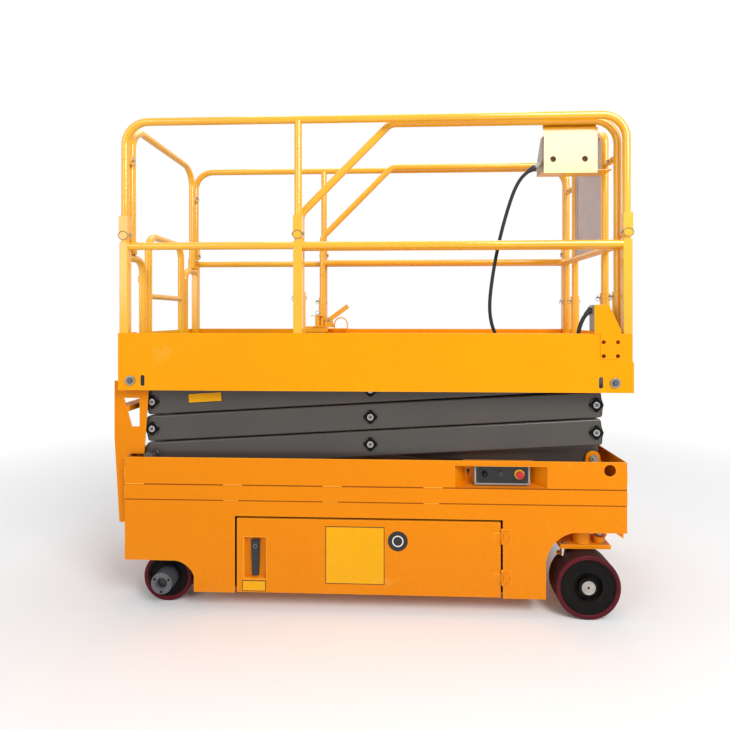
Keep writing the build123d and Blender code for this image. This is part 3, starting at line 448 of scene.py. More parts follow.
def call_group(tree, name, place, **values):
    """A shared group placed in a material, with its own values."""
    made = node(tree, "ShaderNodeGroup", node_tree=bpy.data.node_groups[name])
    tree.links.new(place, made.inputs["Vector"])
    for key, value in values.items():
        made.inputs[key.replace("_", " ")].default_value = value
    return made.outputs[0]


# Finishes

DUST = (0.52, 0.45, 0.36, 1)


def new_finish(name, **shader_values):
    """A material with its shader, and the object's own coordinates."""
    material = bpy.data.materials.new(name)
    material.use_nodes = True
    tree = material.node_tree
    tree.nodes.clear()
    shader = node(tree, "ShaderNodeBsdfPrincipled", {key.replace("_", " "): value
                                                     for key, value in shader_values.items()})
    node(tree, "ShaderNodeOutputMaterial", None, {"Surface": shader.outputs["BSDF"]})
    place = node(tree, "ShaderNodeTexCoord").outputs["Object"]
    return tree, shader, place


def raise_surface(tree, shader, height, strength, distance):
    bump = node(tree, "ShaderNodeBump", {"Strength": strength, "Distance": distance}, {"Height": height})
    tree.links.new(bump.outputs["Normal"], shader.inputs["Normal"])


def dimmed(colour):
    """A darker shade of a colour, for a surface's uneven places."""
    return tuple(part * 0.6 for part in colour[:3]) + (1,)


def look(tree, shader, colour, mask, amount, base):
    """The shader's colour, and its roughness: a base, and an amount more where the mask is 1."""
    tree.links.new(colour, shader.inputs["Base Color"])
    rough = maths(tree, "ADD", maths(tree, "MULTIPLY", mask, amount), base)
    tree.links.new(rough, shader.inputs["Roughness"])


def coated(name, colour, darker, roughness=0.36, dust=0.1, scuff=0.25, scuff_colour=(0.8, 0.42, 0.08, 1),
           coat=0.12, metallic=0.0, peel=0.06, gloss=0.35):
    """A sprayed or powder coating: uneven, faintly orange-peeled, lightly scuffed and dusty."""
    tree, shader, place = new_finish(name, Coat_Weight=coat, Coat_Roughness=0.2, Metallic=metallic,
                                     Specular_IOR_Level=gloss)
    base = call_group(tree, "uneven_colour", place, Colour=colour, Other=darker, Scale=2.6, Amount=0.55)
    fine = call_group(tree, "uneven_colour", place, Colour=(1, 1, 1, 1), Other=(0.82, 0.82, 0.82, 1),
                      Scale=60.0, Amount=0.25)
    base = node(tree, "ShaderNodeMix", {"Factor": 1.0}, {6: base, 7: fine}, data_type="RGBA",
                blend_type="MULTIPLY").outputs[2]
    scratches = call_group(tree, "scuffs", place, Scale=7.0, Amount=scuff)
    dusty = call_group(tree, "settled_dust", place, Amount=dust, Low_Edge=0.4)
    scratched = mix(tree, scratches, base, scuff_colour)
    tree.links.new(mix(tree, dusty, scratched, DUST), shader.inputs["Base Color"])
    rough = maths(tree, "ADD", maths(tree, "MULTIPLY", dusty, 0.5), roughness)
    rough = maths(tree, "ADD", rough, maths(tree, "MULTIPLY", scratches, 0.2))
    tree.links.new(rough, shader.inputs["Roughness"])
    grain = call_group(tree, "fine_grain", place, Scale=420.0, Detail=1.0)
    raise_surface(tree, shader, grain, peel, 0.001)


def make_edge_light_shade_and_wear(name, paint, bare):
    """The eased edges of painted plate in a colour given by the caller: lighter than the coating as a painted
    highlight on yellow plate, darker as painted shade on the arms, with chips of bare metal where the coating
    is thin.
    """
    tree, shader, place = new_finish(name, Coat_Weight=0.1)
    worn = ramp(tree, noise(tree, place, Scale=46.0, Detail=6.0, Roughness=0.7), 0.56, 0.68)
    look(tree, shader, mix(tree, worn, paint, bare), worn, 0.2, 0.36)


def make_bright_metal(name, colour, roughness, stretch=(1, 1, 1), scale=90.0):
    """Plated or turned steel with faint tool marks and a dull bloom."""
    tree, shader, place = new_finish(name, Metallic=1.0)
    turned = node(tree, "ShaderNodeMapping", {"Scale": stretch}, {"Vector": place})
    marks = noise(tree, turned.outputs["Vector"], Scale=scale, Detail=5.0)
    bloom = call_group(tree, "uneven_colour", place, Colour=colour, Other=dimmed(colour), Scale=22.0,
                       Amount=0.6)
    look(tree, shader, bloom, marks, 0.22, roughness - 0.1)
    raise_surface(tree, shader, marks, 0.12, 0.0006)


def make_tyre_finish():
    """Solid polyurethane: dark wine red, duller and greyer on the tread where it has rolled."""
    tree, shader, place = new_finish("tyre_polyurethane", Specular_IOR_Level=0.18)
    base = call_group(tree, "uneven_colour", place, Colour=(0.11, 0.003, 0.010, 1),
                      Other=(0.045, 0.004, 0.007, 1), Scale=9.0, Amount=0.7)
    facing = node(tree, "ShaderNodeNewGeometry")
    normal = node(tree, "ShaderNodeSeparateXYZ", None, {"Vector": facing.outputs["Normal"]})
    sideways = maths(tree, "ABSOLUTE", normal.outputs["Y"])
    tread = ramp(tree, sideways, 0.6, 0.2)
    rubbed = call_group(tree, "scuffs", place, Scale=24.0, Amount=0.7)
    grey = maths(tree, "MAXIMUM", maths(tree, "MULTIPLY", tread, 0.85), maths(tree, "MULTIPLY", rubbed, 0.35))
    look(tree, shader, mix(tree, grey, base, (0.030, 0.014, 0.011, 1)), grey, 0.35, 0.42)
    grain = call_group(tree, "fine_grain", place, Scale=240.0, Detail=4.0)
    raise_surface(tree, shader, grain, 0.25, 0.001)


def make_moulded(name, colour, roughness=0.5, scale=700.0, strength=0.3):
    """Moulded plastic or rubber with a fine grain and a little dust."""
    tree, shader, place = new_finish(name)
    base = call_group(tree, "uneven_colour", place, Colour=colour, Other=dimmed(colour), Scale=30.0,
                      Amount=0.5)
    dusty = call_group(tree, "settled_dust", place, Amount=0.16, Low_Edge=0.3)
    look(tree, shader, mix(tree, dusty, base, DUST), dusty, 0.4, roughness)
    grain = call_group(tree, "fine_grain", place, Scale=scale, Detail=3.0)
    raise_surface(tree, shader, grain, strength, 0.0006)


def make_perforated_sheet():
    """Pinkish grey zinc-coated sheet with small round holes in staggered rows across Y and Z. The holes are
    not cut: they are painted dark as the shade seen through them, and sunk by a bump.
    """
    tree, shader, place = new_finish("perforated_sheet", Metallic=0.2)
    base = call_group(tree, "uneven_colour", place, Colour=(0.66, 0.57, 0.56, 1), Other=(0.5, 0.42, 0.42, 1),
                      Scale=12.0, Amount=0.7)
    turned = node(tree, "ShaderNodeMapping", {"Rotation": (math.radians(45), 0, 0)}, {"Vector": place})
    parts = node(tree, "ShaderNodeSeparateXYZ", None, {"Vector": turned.outputs["Vector"]})
    waves = []
    for axis in ("Y", "Z"):
        angle = maths(tree, "MULTIPLY", parts.outputs[axis], math.tau / perforation_pitch)
        waves.append(maths(tree, "COSINE", angle))
    both = maths(tree, "ADD", *waves)
    # Dark dots where the holes are: painted shade seen through holes that are not cut.
    dark_hole_shade = ramp(tree, both, 0.75, 1.0)
    look(tree, shader, mix(tree, dark_hole_shade, base, (0.13, 0.1, 0.1, 1)), dark_hole_shade, 0.4, 0.4)
    raise_surface(tree, shader, maths(tree, "SUBTRACT", 1.0, dark_hole_shade), 0.6, 0.001)


def make_finishes(paint):
    """All of the lift's finishes. The main paint's colour comes from the panel."""
    make_uneven_colour_group()
    make_fine_grain_group()
    make_scuffs_group()
    make_settled_dust_group()
    main = tuple(paint) + (1,)
    shade = (paint[0] * 0.95, paint[1] * 0.9, paint[2] * 0.8, 1)
    coated("yellow_coat", main, shade, coat=0.0, gloss=0.12, dust=0.06)
    # A lighter copy of the main paint for the platform: painted light, as the light from above falls more
    # strongly up there.
    coated("lit_platform_coat", (min(1, main[0] * 1.14), main[1] * 1.4, main[2], 1),
           (main[0] * 1.1, main[1] * 1.26, main[2], 1), coat=0.0, gloss=0.12, dust=0.06)
    # The yellow edge colour is lighter than the main paint: a painted highlight on eased edges, welds, studs
    # and lips, with real chips.
    make_edge_light_shade_and_wear("yellow_edge_highlight_and_wear", (min(1, main[0] * 1.2), main[1] * 1.6, main[2] + 0.008, 1),
                   (0.6, 0.34, 0.1, 1))
    # A lighter, yellower copy of the main paint for rails, lock and console plate: painted highlight, as
    # these catch the strong lights.
    coated("highlit_rail_coat", (min(1, main[0] * 1.17), main[1] * 1.95, main[2] + 0.008, 1),
           (main[0] * 1.03, main[1] * 1.43, main[2], 1), roughness=0.17, coat=0.6, gloss=0.55, dust=0.03)
    # Dark brown for the strips along the side bands: painted shadow standing for the shade in the gaps at the
    # band's edges.
    coated("painted_seam_shadow", (0.3, 0.08, 0.003, 1), (0.2, 0.05, 0.003, 1), roughness=0.7, coat=0.0, gloss=0.1)
    coated("arm_coat", (0.066, 0.058, 0.05, 1), (0.046, 0.04, 0.036, 1), roughness=0.34, dust=0.1,
           scuff=0.4, scuff_colour=(0.16, 0.145, 0.125, 1), coat=0.1, peel=0.1, gloss=0.45)
    # A near-black edge colour on the arms: painted shade that widens the dark lines between the arms, with
    # real chips.
    make_edge_light_shade_and_wear("arm_edge_shade_and_wear", (0.016, 0.014, 0.013, 1), (0.09, 0.08, 0.07, 1))
    coated("black_cast", (0.003, 0.003, 0.003, 1), (0.006, 0.005, 0.005, 1), roughness=0.6, dust=0.03,
           scuff=0.2, scuff_colour=(0.03, 0.03, 0.03, 1), coat=0.0, peel=0.4, gloss=0.1)
    coated("grey_cast", (0.13, 0.14, 0.16, 1), (0.08, 0.085, 0.1, 1), roughness=0.4, dust=0.12,
           scuff=0.4, scuff_colour=(0.35, 0.36, 0.38, 1), coat=0.0, metallic=0.4, peel=0.4)
    coated("grey_box_coat", (0.34, 0.33, 0.31, 1), (0.26, 0.25, 0.24, 1), scuff=0.3,
           scuff_colour=(0.45, 0.45, 0.45, 1))
    coated("label_yellow", (0.85, 0.4, 0.003, 1), (0.78, 0.36, 0.003, 1), roughness=0.35, coat=0.02,
           peel=0.02, gloss=0.12, scuff_colour=(0.9, 0.8, 0.6, 1))
    # Flat black for printed borders, discs and the ground control face, also put on keyholes, bores and slots
    # as painted shade.
    coated("flat_black_and_painted_shade", (0.008, 0.008, 0.008, 1), (0.014, 0.014, 0.014, 1), roughness=0.35, coat=0.2,
           peel=0.02, scuff_colour=(0.2, 0.2, 0.2, 1))
    coated("label_white", (0.78, 0.78, 0.76, 1), (0.68, 0.68, 0.66, 1), roughness=0.35, coat=0.3, peel=0.02,
           scuff_colour=(0.5, 0.5, 0.5, 1))
    make_bright_metal("zinc", (0.42, 0.41, 0.38, 1), 0.34)
    make_bright_metal("pin_steel", (0.52, 0.51, 0.48, 1), 0.3, stretch=(1, 12, 1))
    make_bright_metal("rod_chrome", (0.8, 0.8, 0.81, 1), 0.16, stretch=(12, 1, 12))
    make_bright_metal("deck_steel", (0.4, 0.4, 0.4, 1), 0.45, scale=30.0)
    make_perforated_sheet()
    make_tyre_finish()
    make_moulded("black_plastic", (0.01, 0.01, 0.011, 1))
    make_moulded("cable_rubber", (0.009, 0.009, 0.01, 1), roughness=0.55, scale=900.0)
    make_moulded("red_plastic", (0.55, 0.01, 0.008, 1), roughness=0.3, strength=0.08)
    make_moulded("yellow_plastic", (0.85, 0.55, 0.02, 1), roughness=0.35, strength=0.08)


# What the user may set

def length_setting(name, description, default, **limits):
    return bpy.props.FloatProperty(name=name, description=description, default=default, unit="LENGTH",
                                   subtype="DISTANCE", **limits)


class PaintSettings(bpy.types.PropertyGroup):
    main: bpy.props.FloatVectorProperty(
        name="Main paint", description="Colour of the chassis, platform and rails", subtype="COLOR",
        size=3, min=0, max=1, default=(0.79, 0.24, 0.0004))
    edge_width: length_setting("Eased edge", "Width of the rounded edges of plate", 0.0012, min=0.0002,
                               max=0.004)


class WheelSettings(bpy.types.PropertyGroup):
    tyre_thickness: length_setting("Tyre thickness", "Depth of the solid tyre on its rim", 0.02,
                                   min=0.008, max=0.03)
    shoulder: length_setting("Shoulder", "Rounding between tread and side", 0.006, min=0.001, max=0.012)


class TrimSettings(bpy.types.PropertyGroup):
    weld_length: length_setting("Stitch length", "Length of each stitch weld on the chassis side", 0.085,
                                min=0.02, max=0.15)
    weld_gap: length_setting("Stitch gap", "Bare run between stitch welds", 0.362, min=0.01, max=0.6)
    tread_pitch: length_setting("Tread pitch", "Distance between the raised lugs of the deck plate", 0.028,
                                min=0.015, max=0.06)


class StageSettings(bpy.types.PropertyGroup):
    camera_x: length_setting("Camera along", "Camera's place along the lift", 0.137)
    camera_y: length_setting("Camera back", "Camera's place beside the lift", -2.5353)
    camera_z: length_setting("Camera height", "Camera's height above the floor", 1.315)
    camera_turn: bpy.props.FloatProperty(
        name="Camera turn", description="Turn of the view towards the rear", subtype="ANGLE",
        default=math.radians(2.23))
    lens: bpy.props.FloatProperty(
        name="Lens", description="Focal length on a 36 mm wide sensor, in millimetres", default=23.95)


# Frame pieces with eased edges

def softened(source_name, width, paint, edge, slot, segments=2, long_edges=None):
    """A copy of a frame piece with welded corners and eased edges, in its place. The edges take the edge
    finish: a painted highlight on yellow plate and painted shade on the arms, each with chipped wear.
    """
    source = frame["nodes"][source_name]
    piece = bpy.data.objects.new(source_name + "_coated", source.data.copy())
    bpy.context.scene.collection.objects.link(piece)
    choose(piece)
    bpy.ops.mesh.customdata_custom_splitnormals_clear()
    bpy.ops.object.mode_set(mode="EDIT")
    bpy.ops.mesh.select_all(action="SELECT")
    bpy.ops.mesh.remove_doubles(threshold=0.00001)
    bpy.ops.mesh.dissolve_limited(angle_limit=math.radians(0.3))
    done_editing()
    piece.data.materials.clear()
    for material in (paint, edge):
        piece.data.materials.append(bpy.data.materials[material])
    if long_edges:
        long_edges(piece)
        modify(piece, "BEVEL", width=arm_corner, segments=4, limit_method="WEIGHT", use_clamp_overlap=False)
    modify(piece, "BEVEL", width=width, segments=segments, limit_method="ANGLE", angle_limit=math.radians(38),
           use_clamp_overlap=False, material=1, miter_outer="MITER_ARC")
    even_shading(piece, 30)
    return give(piece, source["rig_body"], None, source_name, slot=slot)


def arm_place(level, share, outer):
    """Where a pin lies: a share of an arm's length back from its front end."""
    rise = 1 - share if outer else share
    return Vector((fixed_pin_x - pin_span * share, 0, base_pin_z + level_rise * (level - 1 + rise)))


def mark_arm_outline(level, outer):
    """Chooses the long corners of an arm's box tube, which are rounder than its other edges."""
    def mark(piece):
        front, rear = arm_place(level, 0, outer), arm_place(level, 1, outer)
        along = (front - rear).normalized()
        across = Vector((-along.z, 0, along.x))
        middle = (front + rear) / 2
        reach = (front - rear).length / 2 + arm_end
        weights = piece.data.attributes.new("bevel_weight_edge", "FLOAT", "EDGE")
        faces = (outer_arm_y, outer_arm_y - arm_width) if outer else (inner_arm_y, inner_arm_y - arm_width)
        for edge in piece.data.edges:
            on_outline = True
            for index in edge.vertices:
                spot = piece.data.vertices[index].co
                in_face = min(abs(abs(spot.y) - face) for face in faces) < 0.0002
                away = Vector((spot.x, 0, spot.z)) - middle
                at_edge = abs(away.dot(across)) > arm_height / 2 - 0.0145
                at_end = abs(abs(away.dot(along)) - reach) < 0.0002
                on_outline = on_outline and in_face and (at_edge or at_end)
            first, second = (piece.data.vertices[index].co for index in edge.vertices)
            along_y = abs(first.y - second.y) > 0.001
            weights.data[edge.index].value = 1.0 if on_outline and not along_y else 0.0
    return mark


PLATE_PIECES = (
    "chassis_frame", "side_skirts", "underbody_tray", "rear_ladder", "rear_axle", "front_axle_beam",
    "base_brackets", "door_hinges", "battery_door", "pump_door", "right_knuckle", "left_knuckle",
    "platform_frame", "platform_side_plates", "platform_side_flanges", "platform_end_beams", "toe_boards",
    "outlet_bracket", "console_bracket", "extension_deck", "tie_rod",
)
TUBE_PIECES = (
    "lower_guardrails", "upper_guardrails", "rear_guardrail", "gate_jambs", "entry_gate",
    "extension_rails", "front_guardrail",
)


class LIFT_OT_coat_frame(bpy.types.Operator):
    """Make the finishes, and coat the plates, tubes and arms of the frame"""
    bl_idname = "lift.coat_frame"
    bl_label = "Coat the Frame"

    def execute(self, context):
        paint = context.scene.lift_paint
        make_finishes(paint.main)
        for name in PLATE_PIECES:
            on_chassis = frame["nodes"][name]["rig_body"] not in ("platform", "extension")
            # Plates on the platform and extension take the lighter copy of the paint, as painted light.
            plate_coat = "yellow_coat" if on_chassis else "lit_platform_coat"
            # The console plate takes the highlit rail paint as a painted highlight.
            softened(name, paint.edge_width, "highlit_rail_coat" if name == "console_bracket" else plate_coat,
                     "yellow_edge_highlight_and_wear", "yellow_paint")
        for name in TUBE_PIECES:
            piece = frame["nodes"][name]
            # Tubes take the highlit rail paint, a painted highlight on the same paint.
            piece.data.materials[0] = bpy.data.materials["highlit_rail_coat"]
        for level in LEVELS:
            for kind in ("inner_arms", "outer_arms"):
                # Arm edges take the near-black edge colour, painted shade between the arms.
                softened(f"{kind}_{level}", 0.0008, "arm_coat", "arm_edge_shade_and_wear", "dark_arm_paint", segments=1,
                         long_edges=mark_arm_outline(level, kind == "outer_arms"))
        others = {
            "lift_cylinder_barrel": "arm_coat", "lift_cylinder_rod": "rod_chrome", "deck_plate": "deck_steel",
            "right_drive_motor": "black_cast", "left_drive_motor": "black_cast",
            "mesh_panel": "perforated_sheet",
        }
        for name, material in others.items():
            frame["nodes"][name].data.materials[0] = bpy.data.materials[material]
        return {"FINISHED"}


# Wheels

def make_tyre(name, middle, half_width, radius, thickness, shoulder):
    """A solid tyre: a cylinder with rounded shoulders, opened into a ring by bridging its faces."""
    tyre = rod(name, middle - Vector((0, half_width, 0)), middle + Vector((0, half_width, 0)), radius, 128)

    def is_side(_, normal):
        return abs(normal.y) > 0.99

    pick_faces(tyre, is_side)
    bpy.ops.mesh.inset(thickness=shoulder * 0.9, depth=0)
    bpy.ops.mesh.inset(thickness=thickness - shoulder * 0.9, depth=-0.0015)
    bpy.ops.mesh.bridge_edge_loops()
    done_editing()
    modify(tyre, "BEVEL", width=shoulder, segments=5, limit_method="ANGLE", angle_limit=math.radians(60))
    choose(tyre)
    bpy.ops.object.shade_smooth_by_angle(angle=math.radians(35))
    return tyre


def start_wheel(end, side_name, wheel):
    """A wheel's tyre, and what its centre needs: body, middle, half the width and the rim's radius."""
    node_name = f"{end}_{side_name}_tyre"
    low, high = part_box(node_name)
    middle, half_size = (low + high) / 2, (high - low) / 2
    body = f"{end}_{side_name}_wheel"
    tyre = make_tyre(body + "_tyre", middle, half_size.y, half_size.z, wheel.tyre_thickness, wheel.shoulder)
    give(tyre, body, "tyre_polyurethane", node_name)
    return body, middle, half_size.y, half_size.z - wheel.tyre_thickness - 0.0002


def make_front_wheel(side_name, side, wheel):
    """The driven wheel: a solid tyre on a black cast centre with a bright axle cap."""
    body, middle, half, rim = start_wheel("front", side_name, wheel)
    out = outward(side)
    hub = rod(body + "_centre", middle - out * (half - 0.004), middle + out * (half - 0.004), rim, 96)
    step_face(hub, out, [(0.004, 0), (0.0015, -0.003), (0.0465, 0), (0.004, -0.022), (0.019, 0),
                         (0.004, 0.022), (0.004, 0.0)])
    step_face(hub, -out, [(0.012, 0), (0.004, -0.03), (0.05, 0), (0.003, 0.012)])
    ease(hub, 0.0012, 2)
    face = middle + out * half
    cap = rod(body + "_cap", face - out * 0.012, face - out * 0.0005, 0.030, 64)
    step_face(cap, out, [(0.003, -0.0014), (0.0208, 0), (0.0006, -0.006)])
    give(ease(cap, 0.0007, 2), body, "pin_steel")
    # A black disc in the cap's recess: painted shade standing for the depth of the centre drilling.
    bottom = rod(body + "_centre_drilling", face - out * 0.0078, face - out * 0.0066, 0.0054, 24)
    give(ease(bottom, 0.0002, 1), body, "flat_black_and_painted_shade", slot="black_wheel")
    give(hub, body, "black_cast", f"front_{side_name}_hub")


def make_rear_wheel(side_name, side, wheel):
    """The idle wheel: a solid tyre with a grey flange that stands out to the chassis side."""
    body, middle, half, rim = start_wheel("rear", side_name, wheel)
    out = outward(side)
    hub_node = f"rear_{side_name}_hub"
    hub = rod(body + "_centre", middle - out * (half - 0.004), middle + out * (half - 0.006), rim, 96)
    step_face(hub, out, [(0.006, 0), (0.003, -0.008), (0.022, 0), (0.004, 0.008)])
    step_face(hub, -out, [(0.012, 0), (0.004, -0.03)])
    ease(hub, 0.0012, 2)
    flange_y = abs(corner(hub_node, 1 if side > 0 else 0).y)
    face = Vector((middle.x, side * flange_y, middle.z))
    flange = rod(body + "_flange", middle + out * (half - 0.008), face, 0.048, 64)
    step_face(flange, out, [(0.0015, 0), (0.0175, 0.0), (0.0008, -0.004), (0.0045, 0), (0.0005, -0.014)])
    ease(flange, 0.001, 2)
    # A black disc in the flange's recess: painted shade standing for the depth of the bore.
    bore = rod(body + "_flange_bore", face - out * 0.0185, face - out * 0.0173, 0.0232, 40)
    give(ease(bore, 0.0003, 1), body, "flat_black_and_painted_shade", slot="black_wheel")
    screws = []
    for turn in range(3):
        angle = math.tau * (turn / 3) + 0.5
        spot = face + Vector((math.cos(angle) * 0.037, 0, math.sin(angle) * 0.037))
        screws.append(bolt(f"{body}_screw_{turn}", spot - out * 0.001, out, 0.0045, 0.003))
    fit(body + "_screws", screws, body, "black_cast")
    give(flange, body, "grey_cast", slot="grey_wheel")
    give(hub, body, "black_cast", hub_node, slot="grey_wheel")


class LIFT_OT_wheels(bpy.types.Operator):
    """Make the four wheels with their tyres, centres, caps and bolts"""
    bl_idname = "lift.wheels"
    bl_label = "Wheels"

    def execute(self, context):
        for side_name, side in SIDES.items():
            make_front_wheel(side_name, side, context.scene.lift_wheels)
            make_rear_wheel(side_name, side, context.scene.lift_wheels)
        return {"FINISHED"}


# Scissor stack

def make_boss_plate(name, base, out):
    """A square plate on its corner, with round corners, around an arm's pin."""
    half = Vector((0.0255, 0, 0.0255))
    plate = block(name, base - half, base + half + out * 0.0062, math.radians(45))
    weights = plate.data.attributes.new("bevel_weight_edge", "FLOAT", "EDGE")
    for edge in plate.data.edges:
        first, second = (plate.data.vertices[index].co for index in edge.vertices)
        weights.data[edge.index].value = 1.0 if abs(first.y - second.y) > 0.004 else 0.0
    modify(plate, "BEVEL", width=0.011, segments=5, limit_method="WEIGHT")
    return ease(plate, 0.001, 2)


class LIFT_OT_arm_fittings(bpy.types.Operator):
    """Make the boss plates, the bright pin ends and the blank plate on the arms"""
    bl_idname = "lift.arm_fittings"
    bl_label = "Arm Fittings"

    def execute(self, context):
        boss_y = outer_arm_y + 0.006
        for level in LEVELS:
            body = f"outer_arms_{level}"
            plates, rims, pins, screws = [], [], [], []
            shares = (0, 0.5) if level == 1 else (0, 0.5, 1)
            for share in shares:
                spot = arm_place(level, share, True)
                for side in SIDES.values():
                    out = outward(side)
                    base = spot + out * (outer_arm_y + 0.0008)
                    label = f"{body}_{round(share * 2)}_{side + 1}"
                    plates.append(make_boss_plate(label + "_plate", base, out))
                    face = spot + out * (boss_y + 0.0009)
                    rim = rod(label + "_rim", face - out * 0.001, face + out * 0.0016, 0.019, 40)
                    rims.append(ease(step_face(rim, out, [(0.0028, -0.0012)]), 0.0004, 1))
                    pin = rod(label + "_pin", face - out * 0.002, spot + out * (boss_y + 0.0036), 0.0145, 40)
                    step_face(pin, out, [(0.002, 0.0008), (0.0042, 0), (0.0006, -0.0018)])
                    pins.append(ease(pin, 0.0004, 2))
                    screws.append(bolt(label + "_screw", spot + out * (boss_y + 0.0016), out, 0.0066, 0.0024))
            fit(body + "_pin_screws", screws, body, "grey_cast")
            fit(body + "_boss_plates", plates, body, "black_cast", slot="dark_arm_paint")
            fit(body + "_pin_rims", rims, body, "black_cast", slot="dark_arm_paint")
            fit(body + "_pin_ends", pins, body, "pin_steel")
        tilt = math.atan2(level_rise, pin_span)
        for side_name, side in SIDES.items():
            low = Vector((-0.822, side * outer_arm_y, 0.921))
            high = Vector((-0.664, side * (outer_arm_y + 0.0009), 0.966))
            add_plate(f"{side_name}_arm_plate", low, high, "outer_arms_3", side, turn=-tilt)
        return {"FINISHED"}


def add_plate(name, low, high, body, side, turn=0):
    """A blank yellow plate with a thin black border, on a face that looks along Y."""
    out = outward(side)
    border = block(name + "_border", low, high, turn)
    step_face(border, out, [(0.0022, 0), (0.0005, -0.0003)])
    give(border, body, "flat_black_and_painted_shade", slot="yellow_paint")
    inset = Vector((0.003, 0, 0.003))
    face = block(name + "_face", low + inset, high - inset + out * 0.0002, turn)
    step_face(face, out, [(0.002, 0.0001)])
    give(face, body, "label_yellow")


# Chassis trim

def weld_bead(name, start, end, radius=0.0026):
    """A stitch of weld: overlapping drops of metal in a row."""
    start, end = Vector(start), Vector(end)
    along = end - start
    pitch = radius * 1.3
    clear_selection()
    bpy.ops.mesh.primitive_uv_sphere_add(segments=10, ring_count=6, radius=radius, location=start)
    drop = settle(named(name))
    return smooth(repeat(drop, max(2, round(along.length / pitch)), along.normalized() * pitch))


class LIFT_OT_chassis_trim(bpy.types.Operator):
    """Make the side bands with dark strips of painted shadow along their joints, the stitch welds, the
    keyhole in black as painted shade, and the bracket bolts
    """
    bl_idname = "lift.chassis_trim"
    bl_label = "Chassis Trim"

    def execute(self, context):
        trim = context.scene.lift_trim
        rear, front = chassis_low.x, chassis_high.x
        for side_name, side in SIDES.items():
            inner_y = side * (side_y - 0.0005)
            band = block(side_name + "_side_band", (rear + 0.001, inner_y, band_bottom_z + 0.0035),
                         (front - 0.001, side * (side_y + 0.0018), well_floor_z - 0.0045))
            give(ease(band, 0.0014, 3), "chassis", "yellow_coat")
            # Dark strips along the band's top and bottom edges are painted shadow, standing for the shade in
            # the gaps between band and side wall.
            seam_shadow_strips = []
            for label, z in (("low", band_bottom_z + 0.0012), ("high", well_floor_z - 0.002)):
                seam_shadow_strip = block(f"{side_name}_{label}_seam", (rear + 0.002, inner_y, z - 0.0026),
                             (front - 0.002, side * (side_y + 0.0004), z + 0.0028))
                seam_shadow_strips.append(ease(seam_shadow_strip, 0.0002, 1))
            fit(side_name + "_band_seams", seam_shadow_strips, "chassis", "painted_seam_shadow")
            beads = []
            x = rear + 0.006
            while x < front - 0.05:
                end = min(x + trim.weld_length, front - 0.006)
                clear_of_bay = side > 0 or not control_bay_rear_x < (x + end) / 2 < control_bay_front_x
                if clear_of_bay:
                    beads.append(weld_bead("stitch", (x, side * (side_y + 0.0008), well_floor_z - 0.001),
                                           (end, side * (side_y + 0.0008), well_floor_z - 0.001)))
                if clear_of_bay and x > rear + 0.2:
                    low_end = x + trim.weld_length * 0.8
                    beads.append(weld_bead("stitch", (x, side * (side_y + 0.0004), band_bottom_z + 0.001),
                                           (low_end, side * (side_y + 0.0004), band_bottom_z + 0.001), 0.002))
                x += trim.weld_length + trim.weld_gap
            corner_beads = [weld_bead("corner_stitch", (x_end, side * (side_y - 0.0008), z),
                                      (x_end, side * (side_y - 0.0008), z + 0.05), 0.002)
                            for x_end in (rear + 0.0004, front - 0.0004) for z in (0.5, 0.59)]
            # The stitch welds take the lighter edge colour, a painted highlight with wear.
            fit(side_name + "_stitch_welds", beads + corner_beads, "chassis", "yellow_edge_highlight_and_wear")
        # The keyhole is a thin black disc and slot on the surface: painted shade standing for the hollow.
        keyhole = rod("keyhole_round", (0.460, -side_y + 0.0757, 0.618), (0.460, -side_y + 0.0752, 0.618),
                      0.0082, 32)
        drop = block("keyhole_slot", (0.456, -side_y + 0.0752, 0.598), (0.464, -side_y + 0.0757, 0.616))
        fit("keyhole", [ease(keyhole, 0.0002, 1), ease(drop, 0.0002, 1)], "chassis", "flat_black_and_painted_shade")
        make_bracket_bolts()
        make_ladder_grips()
        return {"FINISHED"}


def make_bracket_bolts():
    """Keeper plates and bolts over the ends of the fixed pins, and bolts on the kingpin plate."""
    parts = []
    for side in SIDES.values():
        out = outward(side)
        face = Vector((fixed_pin_x, side * (inner_arm_y + 0.024), base_pin_z))
        keeper = rod("keeper", face - out * 0.001, face + out * 0.004, 0.018, 32)
        step_face(keeper, out, [(0.003, -0.001)])
        parts.append(ease(keeper, 0.0006, 2))
        parts.append(bolt("keeper_bolt", face + out * 0.003, out, 0.008, 0.006))
        for dx, dz in ((-0.026, -0.03), (0.026, -0.03)):
            spot = face + Vector((dx, -side * 0.006, dz))
            parts.append(bolt("ear_bolt", spot, out, 0.007, 0.005))
    fit("base_pin_keepers", parts, "chassis", "zinc")


def make_ladder_grips():
    """Raised studs on the treads of the rear ladder."""
    studs = []
    for step_z, back, rows in ((0.4, -1.133, 2), (0.64, -1.133, 2), (0.88, -1.153, 3)):
        low = Vector((back + 0.008, -0.325, step_z + 0.0245))
        clear_selection()
        bpy.ops.mesh.primitive_cone_add(vertices=8, radius1=0.0045, radius2=0.0025, depth=0.003,
                                        location=low + Vector((0, 0, 0.0012)))
        stud = settle(named("stud"))
        repeat(stud, rows, (0.0165, 0, 0))
        studs.append(repeat(stud, 37, (0, 0.018, 0)))
    fit("ladder_grip_studs", studs, "chassis", "yellow_edge_highlight_and_wear")


# Doors

